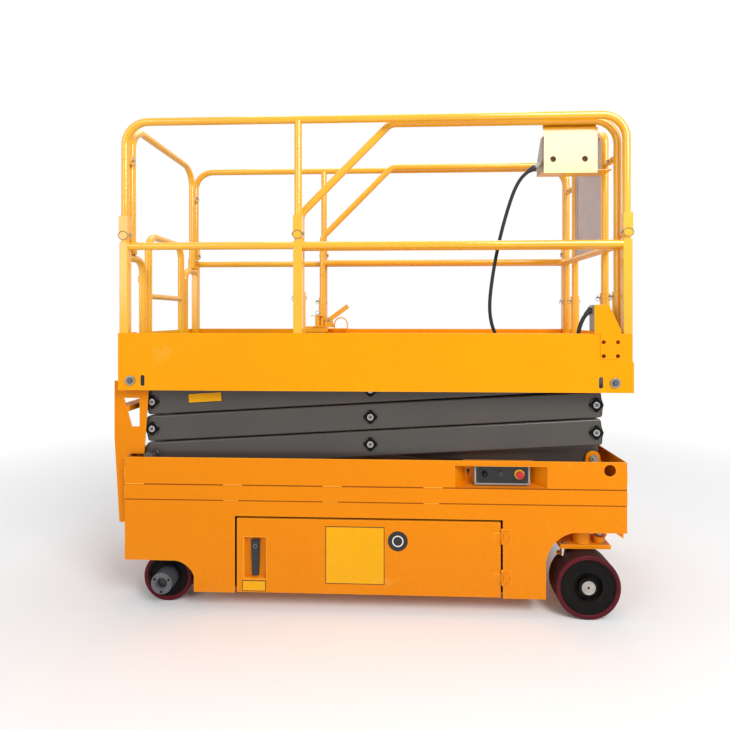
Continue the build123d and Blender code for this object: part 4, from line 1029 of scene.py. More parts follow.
class LIFT_OT_door_fittings(bpy.types.Operator):
    """Make the door handles, the blank plates, the round disc and the hinge screws"""
    bl_idname = "lift.door_fittings"
    bl_label = "Door Fittings"

    def execute(self, context):
        for door, side in (("battery_door", -1), ("pump_door", 1)):
            self.make_handle(door, side)
            out = outward(side)
            face_y = side * side_y
            add_plate(door + "_notice_plate", Vector((-0.180, face_y - side * 0.0002, 0.130)),
                      Vector((0.082, face_y + side * 0.001, 0.384)), door, side)
            add_plate(door + "_small_plate", Vector((-0.554, face_y - side * 0.0002, 0.0895)),
                      Vector((-0.447, face_y + side * 0.001, 0.1375)), door, side)
            middle = Vector((0.141, face_y, 0.323))
            disc = rod(door + "_disc", middle - out * 0.0003, middle + out * 0.0009, 0.044, 64)
            step_face(disc, out, [(0.004, 0.0002)])
            give(ease(disc, 0.0002, 1), door, "flat_black_and_painted_shade")
            white = ring(door + "_disc_ring", middle + out * 0.0009, (0, 1, 0), 0.0225, 0.0032, 56, 8)
            resized(white, (1, 0.12, 1), middle + out * 0.0009)
            give(white, door, "label_white")
            screws = []
            for z in door_hinge_heights:
                for dx, dz in ((0.022, -0.024), (0.022, 0.024), (0.034, 0)):
                    spot = (door_hinge_x + dx, side * (side_y + 0.003), z + dz)
                    screws.append(bolt("hinge_screw", spot, out, 0.0042, 0.0028))
            fit(door + "_hinge_screws", screws, "chassis", "yellow_coat")
            pins = [ball("pin_head", (door_hinge_x, side * (side_y + 0.005), z + 0.0325), 0.0045, (1, 1, 0.5))
                    for z in door_hinge_heights]
            fit(door + "_hinge_pins", pins, "chassis", "yellow_edge_highlight_and_wear")
        return {"FINISHED"}

    def make_handle(self, door, side):
        """A black paddle, wider at its top, on a pivot boss, with a round lock."""
        out = outward(side)
        back = Vector((-0.496, side * (side_y - 0.022), 0.237))
        paddle = block(door + "_paddle", back + Vector((-0.02, 0, -0.08)) + out * 0.008,
                       back + Vector((0.02, 0, 0.08)) + out * 0.018)
        step_face(paddle, out, [(0.006, 0.0022)])
        taper(paddle, (0, 0, -1), (0.74, 1, 1))
        modify(paddle, "BEVEL", width=0.0035, segments=4, limit_method="ANGLE", angle_limit=math.radians(50))
        even_shading(paddle, 40)
        boss = rod(door + "_handle_boss", back, back + out * 0.0085, 0.014, 40)
        fit(door + "_paddle_handle", [paddle, ease(boss, 0.0008, 2)], door, "black_plastic", door + "_handle")
        lock_face = back + Vector((0, 0, 0.052)) + out * 0.0195
        lock = rod(door + "_lock", lock_face - out * 0.004, lock_face + out * 0.0012, 0.0088, 40)
        step_face(lock, out, [(0.0016, -0.0006)])
        # The keyway is a thin black strip on the lock's face: painted shade standing for the slot's hollow.
        slot = block(door + "_lock_slot", lock_face + Vector((-0.0009, 0, -0.0045)),
                     lock_face + Vector((0.0009, 0, 0.0045)) + out * 0.0008)
        give(ease(lock, 0.0004, 2), door, "zinc")
        give(ease(slot, 0.0002, 1), door, "flat_black_and_painted_shade")
        rear, front, low, high, lip = -0.5475, -0.4445, 0.142, 0.332, 0.002
        inner_y, outer_y = side * (side_y - 0.0218), side * (side_y + 0.0006)
        lips = [ease(block("recess_lip", (x0, inner_y, z0), (x1, outer_y, z1)), 0.0005, 1)
                for x0, x1, z0, z1 in ((rear, rear + lip, low, high), (front - lip, front, low, high),
                                       (rear, front, low, low + lip), (rear, front, high - lip, high))]
        fit(door + "_recess_lips", lips, door, "yellow_edge_highlight_and_wear")


# Ground controls

class LIFT_OT_ground_controls(bpy.types.Operator):
    """Make the ground control box with its frame, key switch, toggle and stop button"""
    bl_idname = "lift.ground_controls"
    bl_label = "Ground Controls"

    def execute(self, context):
        low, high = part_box("ground_control_panel")
        out = Vector((0, -1, 0))
        face_y = -side_y + 0.026
        box = block("ground_control_box", (low.x, face_y, low.z), (high.x, high.y, high.z))
        step_face(box, out, [(0.0065, 0), (0.0006, -0.0035), (0.004, 0)])
        give(ease(box, 0.0008, 2), "chassis", "grey_box_coat", "ground_control_panel")
        panel = block("ground_control_face", (low.x + 0.0075, face_y + 0.0034, low.z + 0.0075),
                      (high.x - 0.0075, face_y + 0.0012, high.z - 0.0075))
        give(ease(panel, 0.0006, 1), "chassis", "flat_black_and_painted_shade")
        z = low.z + 0.048
        face = face_y + 0.0012
        make_stop_button("ground_stop", Vector((0.678, face, z)), out, "chassis", 0.0168)
        spot = Vector((0.526, face, z))
        barrel = rod("key_switch", spot, spot + out * 0.011, 0.0115, 40)
        step_face(barrel, out, [(0.0025, 0.0008), (0.004, 0), (0.0005, -0.0015)])
        give(ease(barrel, 0.0006, 2), "chassis", "black_cast", slot="black_plastic")
        key = block("key_slot", spot + out * 0.0095 + Vector((-0.0012, 0, -0.005)),
                    spot + out * 0.0135 + Vector((0.0012, 0, 0.005)))
        give(ease(key, 0.0004, 1), "chassis", "grey_cast")
        make_toggle("up_down_toggle", Vector((0.597, face, z)), out, Vector((0, 0, 1)), "chassis")
        screws = [bolt("panel_screw", (x, face, zz), out, 0.0028, 0.0012)
                  for x in (low.x + 0.0135, high.x - 0.0135) for zz in (low.z + 0.0135, high.z - 0.0135)]
        fit("ground_panel_screws", screws, "chassis", "grey_cast")
        return {"FINISHED"}


def make_stop_button(name, spot, out, body, radius=0.02):
    """A red mushroom button on a yellow ring."""
    collar = rod(name + "_ring", spot - out * 0.0002, spot + out * 0.0045, radius * 1.28, 56)
    step_face(collar, out, [(0.003, 0.0004), (0.004, -0.0012)])
    give(ease(collar, 0.0006, 2), body, "yellow_plastic")
    stem = rod(name + "_stem", spot, spot + out * 0.0145, radius * 0.55, 32)
    give(ease(stem, 0.0005, 1), body, "red_plastic")
    head = rod(name + "_button", spot + out * 0.0095, spot + out * 0.0185, radius, 56)
    step_face(head, out, [(radius * 0.22, 0.0018), (radius * 0.3, 0.0008), (radius * 0.15, -0.0006)])
    give(ease(head, 0.0014, 3), body, "red_plastic")


def make_toggle(name, spot, out, along, body):
    """A short lever with a rubber sleeve on a threaded nut."""
    nut = rod(name + "_nut", spot, spot + out * 0.0035, 0.0095, 6)
    collar = rod(name + "_collar", spot + out * 0.0034, spot + out * 0.0065, 0.007, 32)
    fit(name + "_nut", [ease(nut, 0.0005, 1), ease(collar, 0.0004, 1)], body, "grey_cast")
    tip = spot + out * 0.022 + along * 0.004
    lever = rod(name + "_lever", spot + out * 0.006, tip, 0.0036, 24)
    step_face(lever, (tip - spot - out * 0.006).normalized(), [(0.0012, 0.0012)])
    give(ease(lever, 0.0006, 2), body, "black_plastic")


# Platform fittings

class LIFT_OT_platform_fittings(bpy.types.Operator):
    """Make the end bolts, the slots as thin black plates of painted shade, the rail pins with their wires,
    and the deck's tread
    """
    bl_idname = "lift.platform_fittings"
    bl_label = "Platform Fittings"

    def execute(self, context):
        trim = context.scene.lift_trim
        washers, bolts, slots = [], [], []
        for side in SIDES.values():
            out = outward(side)
            for x in (toe_low.x + 0.058, toe_high.x - 0.081):
                spot = Vector((x, side * 0.4055, deck_z - 0.089))
                washer = rod("end_washer", spot, spot + out * 0.006, 0.0216, 48)
                step_face(washer, out, [(0.0025, 0.0005)])
                washers.append(ease(washer, 0.0006, 2))
                bolts.append(bolt("end_bolt", spot + out * 0.0055, out, 0.0125, 0.0055))
            # Each slot is a thin black plate on the side: painted shade where the slot's hollow would be.
            for x in (toe_low.x + 0.112, toe_high.x - 0.140):
                slot = block("slot_back", (x - 0.0092, side * 0.4021, deck_z - 0.1142),
                             (x + 0.0092, side * 0.4031, deck_z - 0.0638))
                slots.append(ease(slot, 0.0003, 1))
        fit("end_washers", washers, "platform", "zinc")
        fit("end_bolts", bolts, "platform", "grey_cast")
        fit("slot_backs", slots, "platform", "flat_black_and_painted_shade")
        make_rail_pins()
        make_corner_links()
        lay_tread("deck_tread", "platform", (-1.055, -0.335), (-0.365, 0.365), deck_z, trim.tread_pitch)
        lay_tread("middle_tread", "platform", (-0.31, 1.02), (-0.245, 0.245), deck_z, trim.tread_pitch)
        lay_tread("extension_tread", "extension", (-0.268, 1.09), (-0.29, 0.29), extension_deck_z,
                  trim.tread_pitch)
        return {"FINISHED"}


def lay_tread(name, body, along, across, z, pitch):
    """Raised lens-shaped lugs of a chequered plate, turned one way and the other."""
    lugs = []
    for turn, shift in ((0.785, 0), (-0.785, 0.5)):
        clear_selection()
        bpy.ops.mesh.primitive_cone_add(vertices=8, radius1=0.009, radius2=0.0055, depth=0.0022,
                                        location=(along[0] + pitch * shift, across[0] + pitch * shift,
                                                  z + 0.0001))
        lug = bpy.context.active_object
        lug.scale = (1, 0.32, 1)
        lug.rotation_euler = (0, 0, turn)
        settle(named(name + "_lug"))
        for axis, (first, last) in enumerate((along, across)):
            step = [0, 0, 0]
            step[axis] = pitch
            repeat(lug, int((last - first) / pitch - shift), step)
        lugs.append(lug)
    fit(name, lugs, body, "deck_steel" if body == "platform" else "yellow_edge_highlight_and_wear")


def hang_wire(name, spot, radius, squash):
    """A thin wire loop that hangs below a pin, in a plane facing along Y."""
    loop = ring(name, spot, (0, 1, 0), radius, 0.0011, 32, 6)
    return smooth(resized(loop, (1, 1, squash), spot))


def make_rail_pins():
    """Lynch pins through the folding sleeves and the sockets, each with its wire loop."""
    parts = {"platform": [], "extension": []}
    wires = {"platform": [], "extension": []}
    sleeves = [(x, side * rail_y) for x in (rear_post_x, middle_post_x, front_post_x)
               for side in SIDES.values()]
    for x, y in sleeves:
        z = rail_split_z - 0.015
        side = math.copysign(1, y)
        for end in (-1, 1):
            head = Vector((x + end * 0.0228, y, z))
            reach = 0.0045 if abs(x + end * 0.03) < abs(corner("upper_guardrails", 1).x) else 0.0015
            parts["platform"].append(ease(rod("pin_head", head - Vector((end * 0.002, 0, 0)),
                                              head + Vector((end * reach, 0, 0)), 0.0082, 24), 0.0008, 2))
        wires["platform"].append(hang_wire("wire", (x, side * 0.4062, z - 0.006), 0.0215, 0.85))
    sockets = [(x, side * extension_rail_y) for x in (middle_post_x, extension_front_x)
               for side in SIDES.values()]
    sockets += [(extension_front_x, side * 0.193) for side in SIDES.values()]
    for x, y in sockets:
        z = socket_top_z - 0.018
        reach = 0.032
        side = math.copysign(1, y)
        pin = rod("socket_pin", (x - reach, y, z), (x + reach * 0.7, y, z), 0.0042, 20)
        head = rod("pin_head", (x - reach - 0.004, y, z), (x - reach + 0.001, y, z), 0.0075, 20)
        parts["extension"] += [ease(pin, 0.0006, 2), ease(head, 0.0008, 2)]
        wires["extension"] += [hang_wire("wire", (x - reach - 0.001, y, z - 0.009), 0.009, 1.1),
                               hang_wire("wire", (x + reach * 0.6, y - side * 0.001, z - 0.008), 0.008, 1.1)]
    for side in SIDES.values():
        z = deck_z + 0.524
        y = side * 0.33
        parts["platform"].append(ease(rod("socket_pin", (rear_post_x - 0.0225, y, z),
                                          (rear_post_x + 0.032, y, z), 0.0042, 20), 0.0006, 2))
        wires["platform"].append(hang_wire("wire", (rear_post_x + 0.03, y, z - 0.009), 0.009, 1.1))
    for body, pieces in parts.items():
        fit(body + "_rail_pins", pieces, body, "zinc")
        fit(body + "_pin_wires", wires[body], body, "grey_cast")
    lips = [smooth(ring("socket_lip", (x, y, socket_top_z), (0, 0, 1), 0.0205, 0.0018, 40, 8))
            for x, y in sockets]
    fit("socket_lips", lips, "extension", "highlit_rail_coat")


def make_corner_links():
    """Eight-sided lugs and a bolt at each corner where the end frames meet the side rails."""
    lugs, screws = [], []
    for side in SIDES.values():
        y = side * 0.357
        for end in (-1, 1):
            face = Vector((rear_post_x + end * 0.0115, y, link_z))
            out = Vector((end, 0, 0))
            lug = rod("corner_lug", face, face + out * 0.006, 0.025, 8)
            step_face(lug, out, [(0.003, 0.0012)])
            lugs.append(ease(lug, 0.0009, 2))
            screws.append(bolt("corner_bolt", face + out * 0.007, out, 0.008, 0.005))
        screws.append(hang_wire("wire", (rear_post_x + 0.021, y, link_z - 0.012), 0.012, 1.2))
    fit("corner_lugs", lugs, "platform", "highlit_rail_coat")
    fit("corner_bolts", screws, "platform", "zinc")
    lugs, screws = [], []
    for side in SIDES.values():
        spot = Vector((extension_front_x, side * 0.262, link_z))
        across = outward(side)
        lugs.append(ease(rod("front_link_sleeve", spot - across * 0.024, spot + across * 0.024, 0.0145, 32),
                         0.0012, 2))
        screws.append(bolt("front_link_bolt", spot - Vector((0.0135, 0, 0)), (-1, 0, 0), 0.0065, 0.005))
    fit("front_link_sleeves", lugs, "extension", "highlit_rail_coat")
    fit("front_link_bolts", screws, "extension", "zinc")


# Extension lock

class LIFT_OT_extension_lock(bpy.types.Operator):
    """Make the lock pin, its bracket and arch, and the sloping handle of the extension"""
    bl_idname = "lift.extension_lock"
    bl_label = "Extension Lock"

    def execute(self, context):
        y = extension_rail_y - 0.018
        foot = block("lock_foot", (-0.398, y - 0.016, 1.226), (-0.268, y + 0.014, 1.257))
        step_face(foot, (0, 0, 1), [(0.003, 0.0015)])
        rail = block("lock_rail", (-0.270, y - 0.012, 1.2405), (-0.146, y + 0.012, 1.2465))
        cheeks = [taper(block("lock_cheek", (-0.290, y + dy - 0.002, 1.252), (-0.234, y + dy + 0.002, 1.312)),
                        (0, 0, 1), (0.5, 1, 1)) for dy in (-0.0165, 0.0165)]
        parts = [ease(part, 0.0012, 2) for part in (foot, rail, *cheeks)]
        fit("lock_bracket", parts, "extension", "highlit_rail_coat", "extension_lock")
        self.make_pin(y)
        self.make_handle(y)
        self.make_arch(y)
        return {"FINISHED"}

    def make_pin(self, y):
        """The upright lock pin between two small flanges, with a pull ring on top."""
        x = -0.3285
        y -= 0.012
        sleeve = rod("lock_sleeve", (x, y, 1.259), (x, y, 1.3175), 0.0135, 32)
        top = block("lock_top", (-0.368, y - 0.014, 1.317), (-0.292, y + 0.014, 1.322))
        foot = block("lock_flange", (-0.353, y - 0.014, 1.2545), (-0.286, y + 0.014, 1.2595))
        parts = [ease(part, 0.001, 2) for part in (sleeve, top, foot)]
        fit("lock_pin_sleeve", parts, "extension", "highlit_rail_coat")
        pin = rod("lock_pin", (x, y, 1.3215), (x, y, 1.329), 0.0065, 24)
        pull = smooth(ring("lock_ring", (x, y, 1.3365), (0, 1, 0), 0.0105, 0.0015, 36, 8))
        fit("lock_pin_and_ring", [ease(pin, 0.0008, 2), pull], "extension", "zinc")

    def make_handle(self, y):
        """A square tube on a pivot, sloping up towards the front."""
        start = Vector((-0.262, y, 1.294))
        end = Vector((-0.150, y, 1.377))
        along = (end - start).normalized()
        middle = (start + end) / 2
        half = (end - start).length / 2
        reach = Vector((half, 0.012, 0.0125))
        tube = block("lock_lever", middle - reach, middle + reach, -math.atan2(along.z, along.x))
        step_face(tube, along, [(0.0025, 0), (0.0002, -0.04)])
        give(ease(tube, 0.0016, 3), "extension", "highlit_rail_coat")
        across = Vector((0, -1, 0))
        pivots = [bolt("lock_pivot", start + across * 0.0185 * end_side, across * end_side, 0.0085, 0.005)
                  for end_side in (1, -1)]
        fit("lock_pivot_bolts", pivots, "extension", "zinc")

    def make_arch(self, y):
        """A bent flat bar beside the handle, as a stop."""
        middle_x, top_z, radius = -0.1915, 1.3115, 0.0415
        z = top_z - radius
        clear_selection()
        bpy.ops.mesh.primitive_cylinder_add(vertices=48, radius=radius, depth=0.014,
                                            location=(middle_x, y, z), rotation=(math.pi / 2, 0, 0))
        arch = settle(named("lock_arch"))

        def is_flat(_, normal):
            return abs(normal.y) > 0.99

        pick_faces(arch, is_flat)
        bpy.ops.mesh.inset(thickness=0.007, depth=0)
        bpy.ops.mesh.bridge_edge_loops()
        bpy.ops.mesh.select_all(action="SELECT")
        bpy.ops.mesh.bisect(plane_co=(0, 0, z), plane_no=(0, 0, -1), clear_outer=True, use_fill=True)
        done_editing()
        legs = []
        for side in (-1, 1):
            x = middle_x + side * (radius - 0.0035)
            low = (x - 0.0035, y - 0.007, 1.2455)
            legs.append(block("arch_leg", low, (x + 0.0035, y + 0.007, z + 0.0005)))
        fit("lock_stop_arch", [ease(part, 0.0008, 2) for part in (arch, *legs)], "extension", "highlit_rail_coat")


# Platform controls

class LIFT_OT_platform_controls(bpy.types.Operator):
    """Make the operator's console and the outlet box"""
    bl_idname = "lift.platform_controls"
    bl_label = "Platform Controls"

    def execute(self, context):
        softened("control_console", 0.0015, "grey_box_coat", "grey_box_coat", "grey_box", 3)
        softened("outlet_box", 0.001, "grey_box_coat", "grey_box_coat", "grey_box", 2)
        out = Vector((0, 100, 62)).normalized()
        down = Vector((0, 62, -100)).normalized()
        slope = Vector((0.877, -0.242, top_rail_z - 0.111))
        boot = []
        for step, radius in enumerate((0.0265, 0.0235, 0.0205, 0.0175, 0.0145, 0.012)):
            start = slope + out * (0.0072 + step * 0.005)
            fold = rod("boot_fold", start - out * 0.0012, start + out * 0.0044, radius, 40)
            boot.append(ease(fold, 0.0018, 3))
        boot.append(ease(rod("boot_base", slope - out * 0.001, slope + out * 0.0074, 0.0268, 48), 0.001, 2))
        fit("joystick_boot", boot, "extension", "black_plastic")
        grip = smooth(ball("joystick_grip", slope + out * 0.066, 0.0172, (1, 1, 1.15)))
        neck = rod("joystick_neck", slope + out * 0.03, slope + out * 0.062, 0.0096, 32)
        fit("joystick", [grip, ease(neck, 0.001, 2)], "extension", "black_plastic")
        stop = slope + Vector((0.1, 0, 0))
        collar = rod("console_stop_ring", stop - out * 0.001, stop + out * 0.005, 0.0265, 56)
        step_face(collar, out, [(0.003, 0.0006)])
        give(ease(collar, 0.0006, 2), "extension", "yellow_plastic")
        head = rod("console_stop_button", stop + out * 0.0174, stop + out * 0.0304, 0.0206, 56)
        step_face(head, out, [(0.005, 0.0016), (0.006, 0.0006)])
        stem = rod("console_stop_stem", stop, stop + out * 0.018, 0.0146, 32)
        fit("console_stop_button", [ease(head, 0.0014, 3), ease(stem, 0.0005, 1)], "extension", "red_plastic")
        for place, label in ((0.045, "drive_lift_toggle"), (-0.045, "speed_toggle")):
            make_toggle(label, stop + down * place + Vector((-0.05, 0, 0)), out, -down, "extension")
        self.make_box_trim()
        return {"FINISHED"}

    def make_box_trim(self):
        """Screws and lids on the console and the outlet box, and the cable's tapered reliefs."""
        screws = [bolt("console_screw", (x, -0.2112, z), (0, 1, 0), 0.004, 0.0028)
                  for x in (0.811, 1.021) for z in (1.987, 2.019)]
        fit("console_screws", screws, "extension", "zinc")
        lid = block("outlet_lid", (0.993, -0.3532, 1.270), (1.046, -0.348, 1.346))
        step_face(lid, (0, 1, 0), [(0.006, 0), (0.002, 0.002)])
        give(ease(lid, 0.0012, 2), "platform", "grey_box_coat")
        screws = [bolt("lid_screw", (x, -0.3482, z), (0, 1, 0), 0.003, 0.002)
                  for x in (0.9975, 1.0415) for z in (1.275, 1.341)]
        fit("outlet_lid_screws", screws, "platform", "zinc")
        for name, route, radius, body in (("console", CONSOLE_CABLE, 0.008, "extension"),
                                          ("outlet", OUTLET_CABLE, 0.0085, "platform")):
            reliefs = []
            for end, after in ((route[0], route[1]), (route[-1], route[-2])):
                end, after = Vector(end), Vector(after)
                along = (after - end).normalized()
                for fold in range(5):
                    wide = radius + 0.0042 - fold * 0.0007
                    start = end + along * fold * 0.0052
                    part = rod("relief_fold", start - along * 0.001, start + along * 0.0042, wide, 32)
                    reliefs.append(ease(part, 0.0012, 2))
                nut = rod("gland_nut", end - along * 0.012, end - along * 0.001, radius + 0.0068, 6)
                reliefs.append(ease(nut, 0.001, 2))
            fit(name + "_cable_reliefs", reliefs, body, "black_plastic")


# Steering and drive

class LIFT_OT_steering_fittings(bpy.types.Operator):
    """Make the kingpin collars, the tie pin nuts, the drive hoses' ends and the motor bolts"""
    bl_idname = "lift.steering_fittings"
    bl_label = "Steering Fittings"

    def execute(self, context):
        kingpin_y, plate_z = 0.310, 0.303
        for side_name, side in SIDES.items():
            body = f"{side_name}_steering"
            y = side * kingpin_y
            collars = []
            for z0, z1, radius in ((plate_z + 0.0016, plate_z + 0.008, 0.041), (0.358, 0.3725, 0.0415)):
                collar = rod("kingpin_collar", (axle_x, y, z0), (axle_x, y, z1), radius, 64)
                collars.append(ease(collar, 0.0015, 3))
            fit(side_name + "_kingpin_collars", collars, "chassis", "yellow_coat")
            nut_z = plate_z + 0.0305
            tie = bolt("tie_nut", (axle_x + 0.079, y, nut_z - 0.0015), (0, 0, 1), 0.0125, 0.008)
            give(tie, body, "zinc")
            tie.name = side_name + "_tie_nut"
            bolts = []
            for turn in range(6):
                angle = math.tau * turn / 6
                spot = Vector((axle_x + math.cos(angle) * 0.054, side * 0.2405,
                               axle_z + math.sin(angle) * 0.054))
                bolts.append(bolt("motor_bolt", spot, (0, -side, 0), 0.0058, 0.004))
            for dx in (-0.085, 0.09):
                bolts.append(bolt("plate_bolt", (axle_x + dx, side * 0.335, plate_z - 0.0008), (0, 0, 1),
                                  0.008, 0.006))
            fit(side_name + "_drive_bolts", bolts, body, "zinc")
            fitting_spot = Vector((axle_x - 0.088, side * 0.334, 0.2845))
            fitting = rod("brake_fitting", fitting_spot, fitting_spot - Vector((0, 0, 0.034)), 0.0135, 24)
            elbow = rod("brake_elbow", fitting_spot + Vector((0, 0, -0.022)),
                        fitting_spot + Vector((-0.018, -side * 0.018, -0.034)), 0.0105, 24)
            fit(side_name + "_brake_fitting", [ease(fitting, 0.001, 2), ease(elbow, 0.001, 2)], body,
                "rod_chrome")
            ribs = []
            for step in range(5):
                start = Vector((axle_x, side * (0.172 + step * 0.012), axle_z))
                rib = rod("motor_rib", start, start + outward(side) * 0.005, 0.0515, 48)
                ribs.append(ease(rib, 0.001, 1))
            fit(side_name + "_motor_ribs", ribs, body, "black_cast", slot="motor_casting")
            cylinder_eye = ring(side_name + "_eye_weld", (axle_x + 0.079, y, plate_z + 0.0012), (0, 0, 1),
                                0.0125, 0.0022, 32, 8)
            give(cylinder_eye, body, "yellow_edge_highlight_and_wear")
        return {"FINISHED"}


# Battery and hydraulic bays

class LIFT_OT_power_units(bpy.types.Operator):
    """Make the batteries with their caps and leads' posts, and the hydraulic unit with its tank"""
    bl_idname = "lift.power_units"
    bl_label = "Power Units"

    def execute(self, context):
        self.make_batteries()
        self.make_hydraulic_unit()
        return {"FINISHED"}

    def make_batteries(self):
        low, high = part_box("battery_pack")
        count = 2
        wide = (high.x - low.x) / count
        cases, caps, posts = [], [], []
        for index in range(count):
            x0 = low.x + index * wide + 0.003
            x1 = low.x + (index + 1) * wide - 0.003
            case = block("battery_case", (x0, low.y + 0.002, low.z), (x1, high.y - 0.002, high.z - 0.03))
            step_face(case, (0, 0, 1), [(0.002, 0.004), (0.006, 0), (0.001, 0.012)])
            cases.append(ease(case, 0.002, 3))
            for rib in range(5):
                x = x0 + (x1 - x0) * (rib + 0.5) / 5
                cases.append(ease(block("battery_rib", (x - 0.004, low.y - 0.0005, low.z + 0.02),
                                        (x + 0.004, low.y + 0.003, high.z - 0.06)), 0.001, 2))
            for row in range(3):
                y = low.y + (high.y - low.y) * (row + 0.5) / 3
                for column in (0.3, 0.7):
                    x = x0 + (x1 - x0) * column
                    cap = rod("cell_cap", (x, y, high.z - 0.016), (x, y, high.z - 0.006), 0.014, 24)
                    step_face(cap, (0, 0, 1), [(0.003, 0.002), (0.004, -0.001)])
                    caps.append(ease(cap, 0.0008, 2))
            for y in (low.y + 0.03, high.y - 0.03):
                post = rod("post", (x1 - 0.03, y, high.z - 0.016), (x1 - 0.03, y, high.z - 0.001), 0.008, 24)
                posts.append(ease(post, 0.001, 2))
        fit("battery_cases", cases, "chassis", "black_plastic", "battery_pack", slot="battery_case")
        fit("battery_caps", caps, "chassis", "yellow_plastic", slot="battery_case")
        fit("battery_posts", posts, "chassis", "zinc")

    def make_hydraulic_unit(self):
        low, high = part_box("hydraulic_unit")
        split = low.x + (high.x - low.x) * 0.62
        middle_y, middle_z = (low.y + high.y) / 2, (low.z + high.z) / 2
        tank = block("oil_tank", (low.x, low.y + 0.01, low.z), (split, high.y - 0.004, high.z - 0.02))
        step_face(tank, (0, 0, 1), [(0.012, 0), (0.002, 0.006)])
        cap = rod("filler_cap", (low.x + 0.07, middle_y, high.z - 0.014), (low.x + 0.07, middle_y, high.z),
                  0.026, 32)
        manifold = block("valve_block", (split - 0.002, middle_y - 0.07, middle_z - 0.06),
                         (split + 0.062, middle_y + 0.09, middle_z + 0.07))
        motor = rod("pump_motor", (split + 0.06, middle_y, middle_z), (high.x - 0.014, middle_y, middle_z),
                    0.072, 56)
        step_face(motor, (1, 0, 0), [(0.012, 0), (0.004, 0.006), (0.02, 0), (0.002, 0.006)])
        feet = [block("motor_foot", (x, middle_y - 0.06, low.z), (x + 0.03, middle_y + 0.06, middle_z - 0.06))
                for x in (split + 0.08, high.x - 0.07)]
        coils = []
        for dz in (-0.035, 0.01, 0.05):
            start = Vector((split + 0.03, middle_y + 0.088, middle_z + dz))
            coils.append(rod("valve_coil", start, start + Vector((0, 0.04, 0)), 0.017, 32))
        parts = [ease(part, 0.0018, 2) for part in (tank, manifold, *feet)]
        fit("oil_tank_and_block", parts, "chassis", "grey_cast", "hydraulic_unit", slot="pump_block")
        fit("pump_motor_body", [ease(motor, 0.0015, 2), ease(cap, 0.0015, 2)], "chassis", "black_cast",
            slot="motor_casting")
        fit("valve_coils", [ease(coil, 0.001, 2) for coil in coils], "chassis", "black_plastic")
        bands = [ring("motor_band", (x, middle_y, middle_z), (1, 0, 0), 0.0725, 0.0018, 56, 8)
                 for x in (split + 0.075, high.x - 0.03)]
        fit("motor_bands", bands, "chassis", "zinc")


# Cables, along the routes of the frame's own cables

def make_cable(name, route, diameter, body):
    """One smooth round cable along its route, between two glands."""
    curve = bpy.data.curves.new(name, "CURVE")
    curve.dimensions = "3D"
    curve.bevel_depth = diameter / 2
    curve.bevel_resolution = 6
    curve.use_fill_caps = True
    curve.resolution_u = 16
    spline = curve.splines.new("NURBS")
    spline.points.add(len(route) - 1)
    for point, place in zip(spline.points, route):
        point.co = (*place, 1)
    spline.order_u = 3
    spline.use_endpoint_u = True
    cable = bpy.data.objects.new(name, curve)
    bpy.context.scene.collection.objects.link(cable)
    curve.materials.append(bpy.data.materials["cable_rubber"])
    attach(cable, body)
    return cable


class LIFT_OT_cables(bpy.types.Operator):
    """Lay the console's cable and the outlet's cable"""
    bl_idname = "lift.cables"
    bl_label = "Cables"

    def execute(self, context):
        console = make_cable("console_cable_line", CONSOLE_CABLE, 0.016, "extension")
        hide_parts("console_cable")
        outlet = make_cable("outlet_cable_line", OUTLET_CABLE, 0.017, "platform")
        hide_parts("outlet_cable")
        return {"FINISHED"}


# Stage

def add_area_light(name, place, target, size, power):
    light = bpy.data.lights.new(name, "AREA")
    light.shape = "SQUARE"
    light.size = size
    light.energy = power
    lamp = bpy.data.objects.new(name, light)
    bpy.context.scene.collection.objects.link(lamp)
    lamp.location = place
    lamp.rotation_euler = (Vector(target) - Vector(place)).to_track_quat("-Z", "Y").to_euler()


def make_pale_world():
    """Soft light all round, seen as white by the camera, by metal and through glass."""
    world = bpy.data.worlds.new("pale_surroundings")
    bpy.context.scene.world = world
    world.use_nodes = True
    tree = world.node_tree
    tree.nodes.clear()
    soft = node(tree, "ShaderNodeBackground", {"Color": (0.97, 0.98, 1.0, 1), "Strength": 0.52})
    white = node(tree, "ShaderNodeBackground", {"Color": (1, 1, 1, 1), "Strength": 1.0})
    rays = node(tree, "ShaderNodeLightPath")
    seen = maths(tree, "MAXIMUM", rays.outputs["Is Camera Ray"], rays.outputs["Is Transmission Ray"])
    seen = maths(tree, "MAXIMUM", seen, rays.outputs["Is Glossy Ray"])
    blend = node(tree, "ShaderNodeMixShader", None, {0: seen, 1: soft.outputs[0], 2: white.outputs[0]})
    node(tree, "ShaderNodeOutputWorld", None, {"Surface": blend.outputs[0]})


def make_floor():
    """A wide pale floor that keeps the lift's shadow and turns white far away."""
    clear_selection()
    bpy.ops.mesh.primitive_plane_add(size=60, location=(0, 0, 0))
    floor = named("floor")
    tree, shader, place = new_finish("pale_floor", Roughness=0.95, Specular_IOR_Level=0.1)
    tone = call_group(tree, "uneven_colour", place, Colour=(0.92, 0.92, 0.92, 1), Other=(0.89, 0.89, 0.89, 1),
                      Scale=0.4, Amount=0.3)
    tree.links.new(tone, shader.inputs["Base Color"])
    away = node(tree, "ShaderNodeVectorMath", None, {0: place}, operation="LENGTH").outputs["Value"]
    far = ramp(tree, away, 1.7, 4.2)
    seen = node(tree, "ShaderNodeLightPath").outputs["Is Camera Ray"]
    white = node(tree, "ShaderNodeEmission", {"Color": (1, 1, 1, 1), "Strength": 1.0})
    blend = node(tree, "ShaderNodeMixShader", None,
                 {0: maths(tree, "MULTIPLY", far, seen), 1: shader.outputs[0], 2: white.outputs[0]})
    tree.links.new(blend.outputs[0], tree.nodes["Material Output"].inputs["Surface"])
    floor.data.materials.append(bpy.data.materials["pale_floor"])


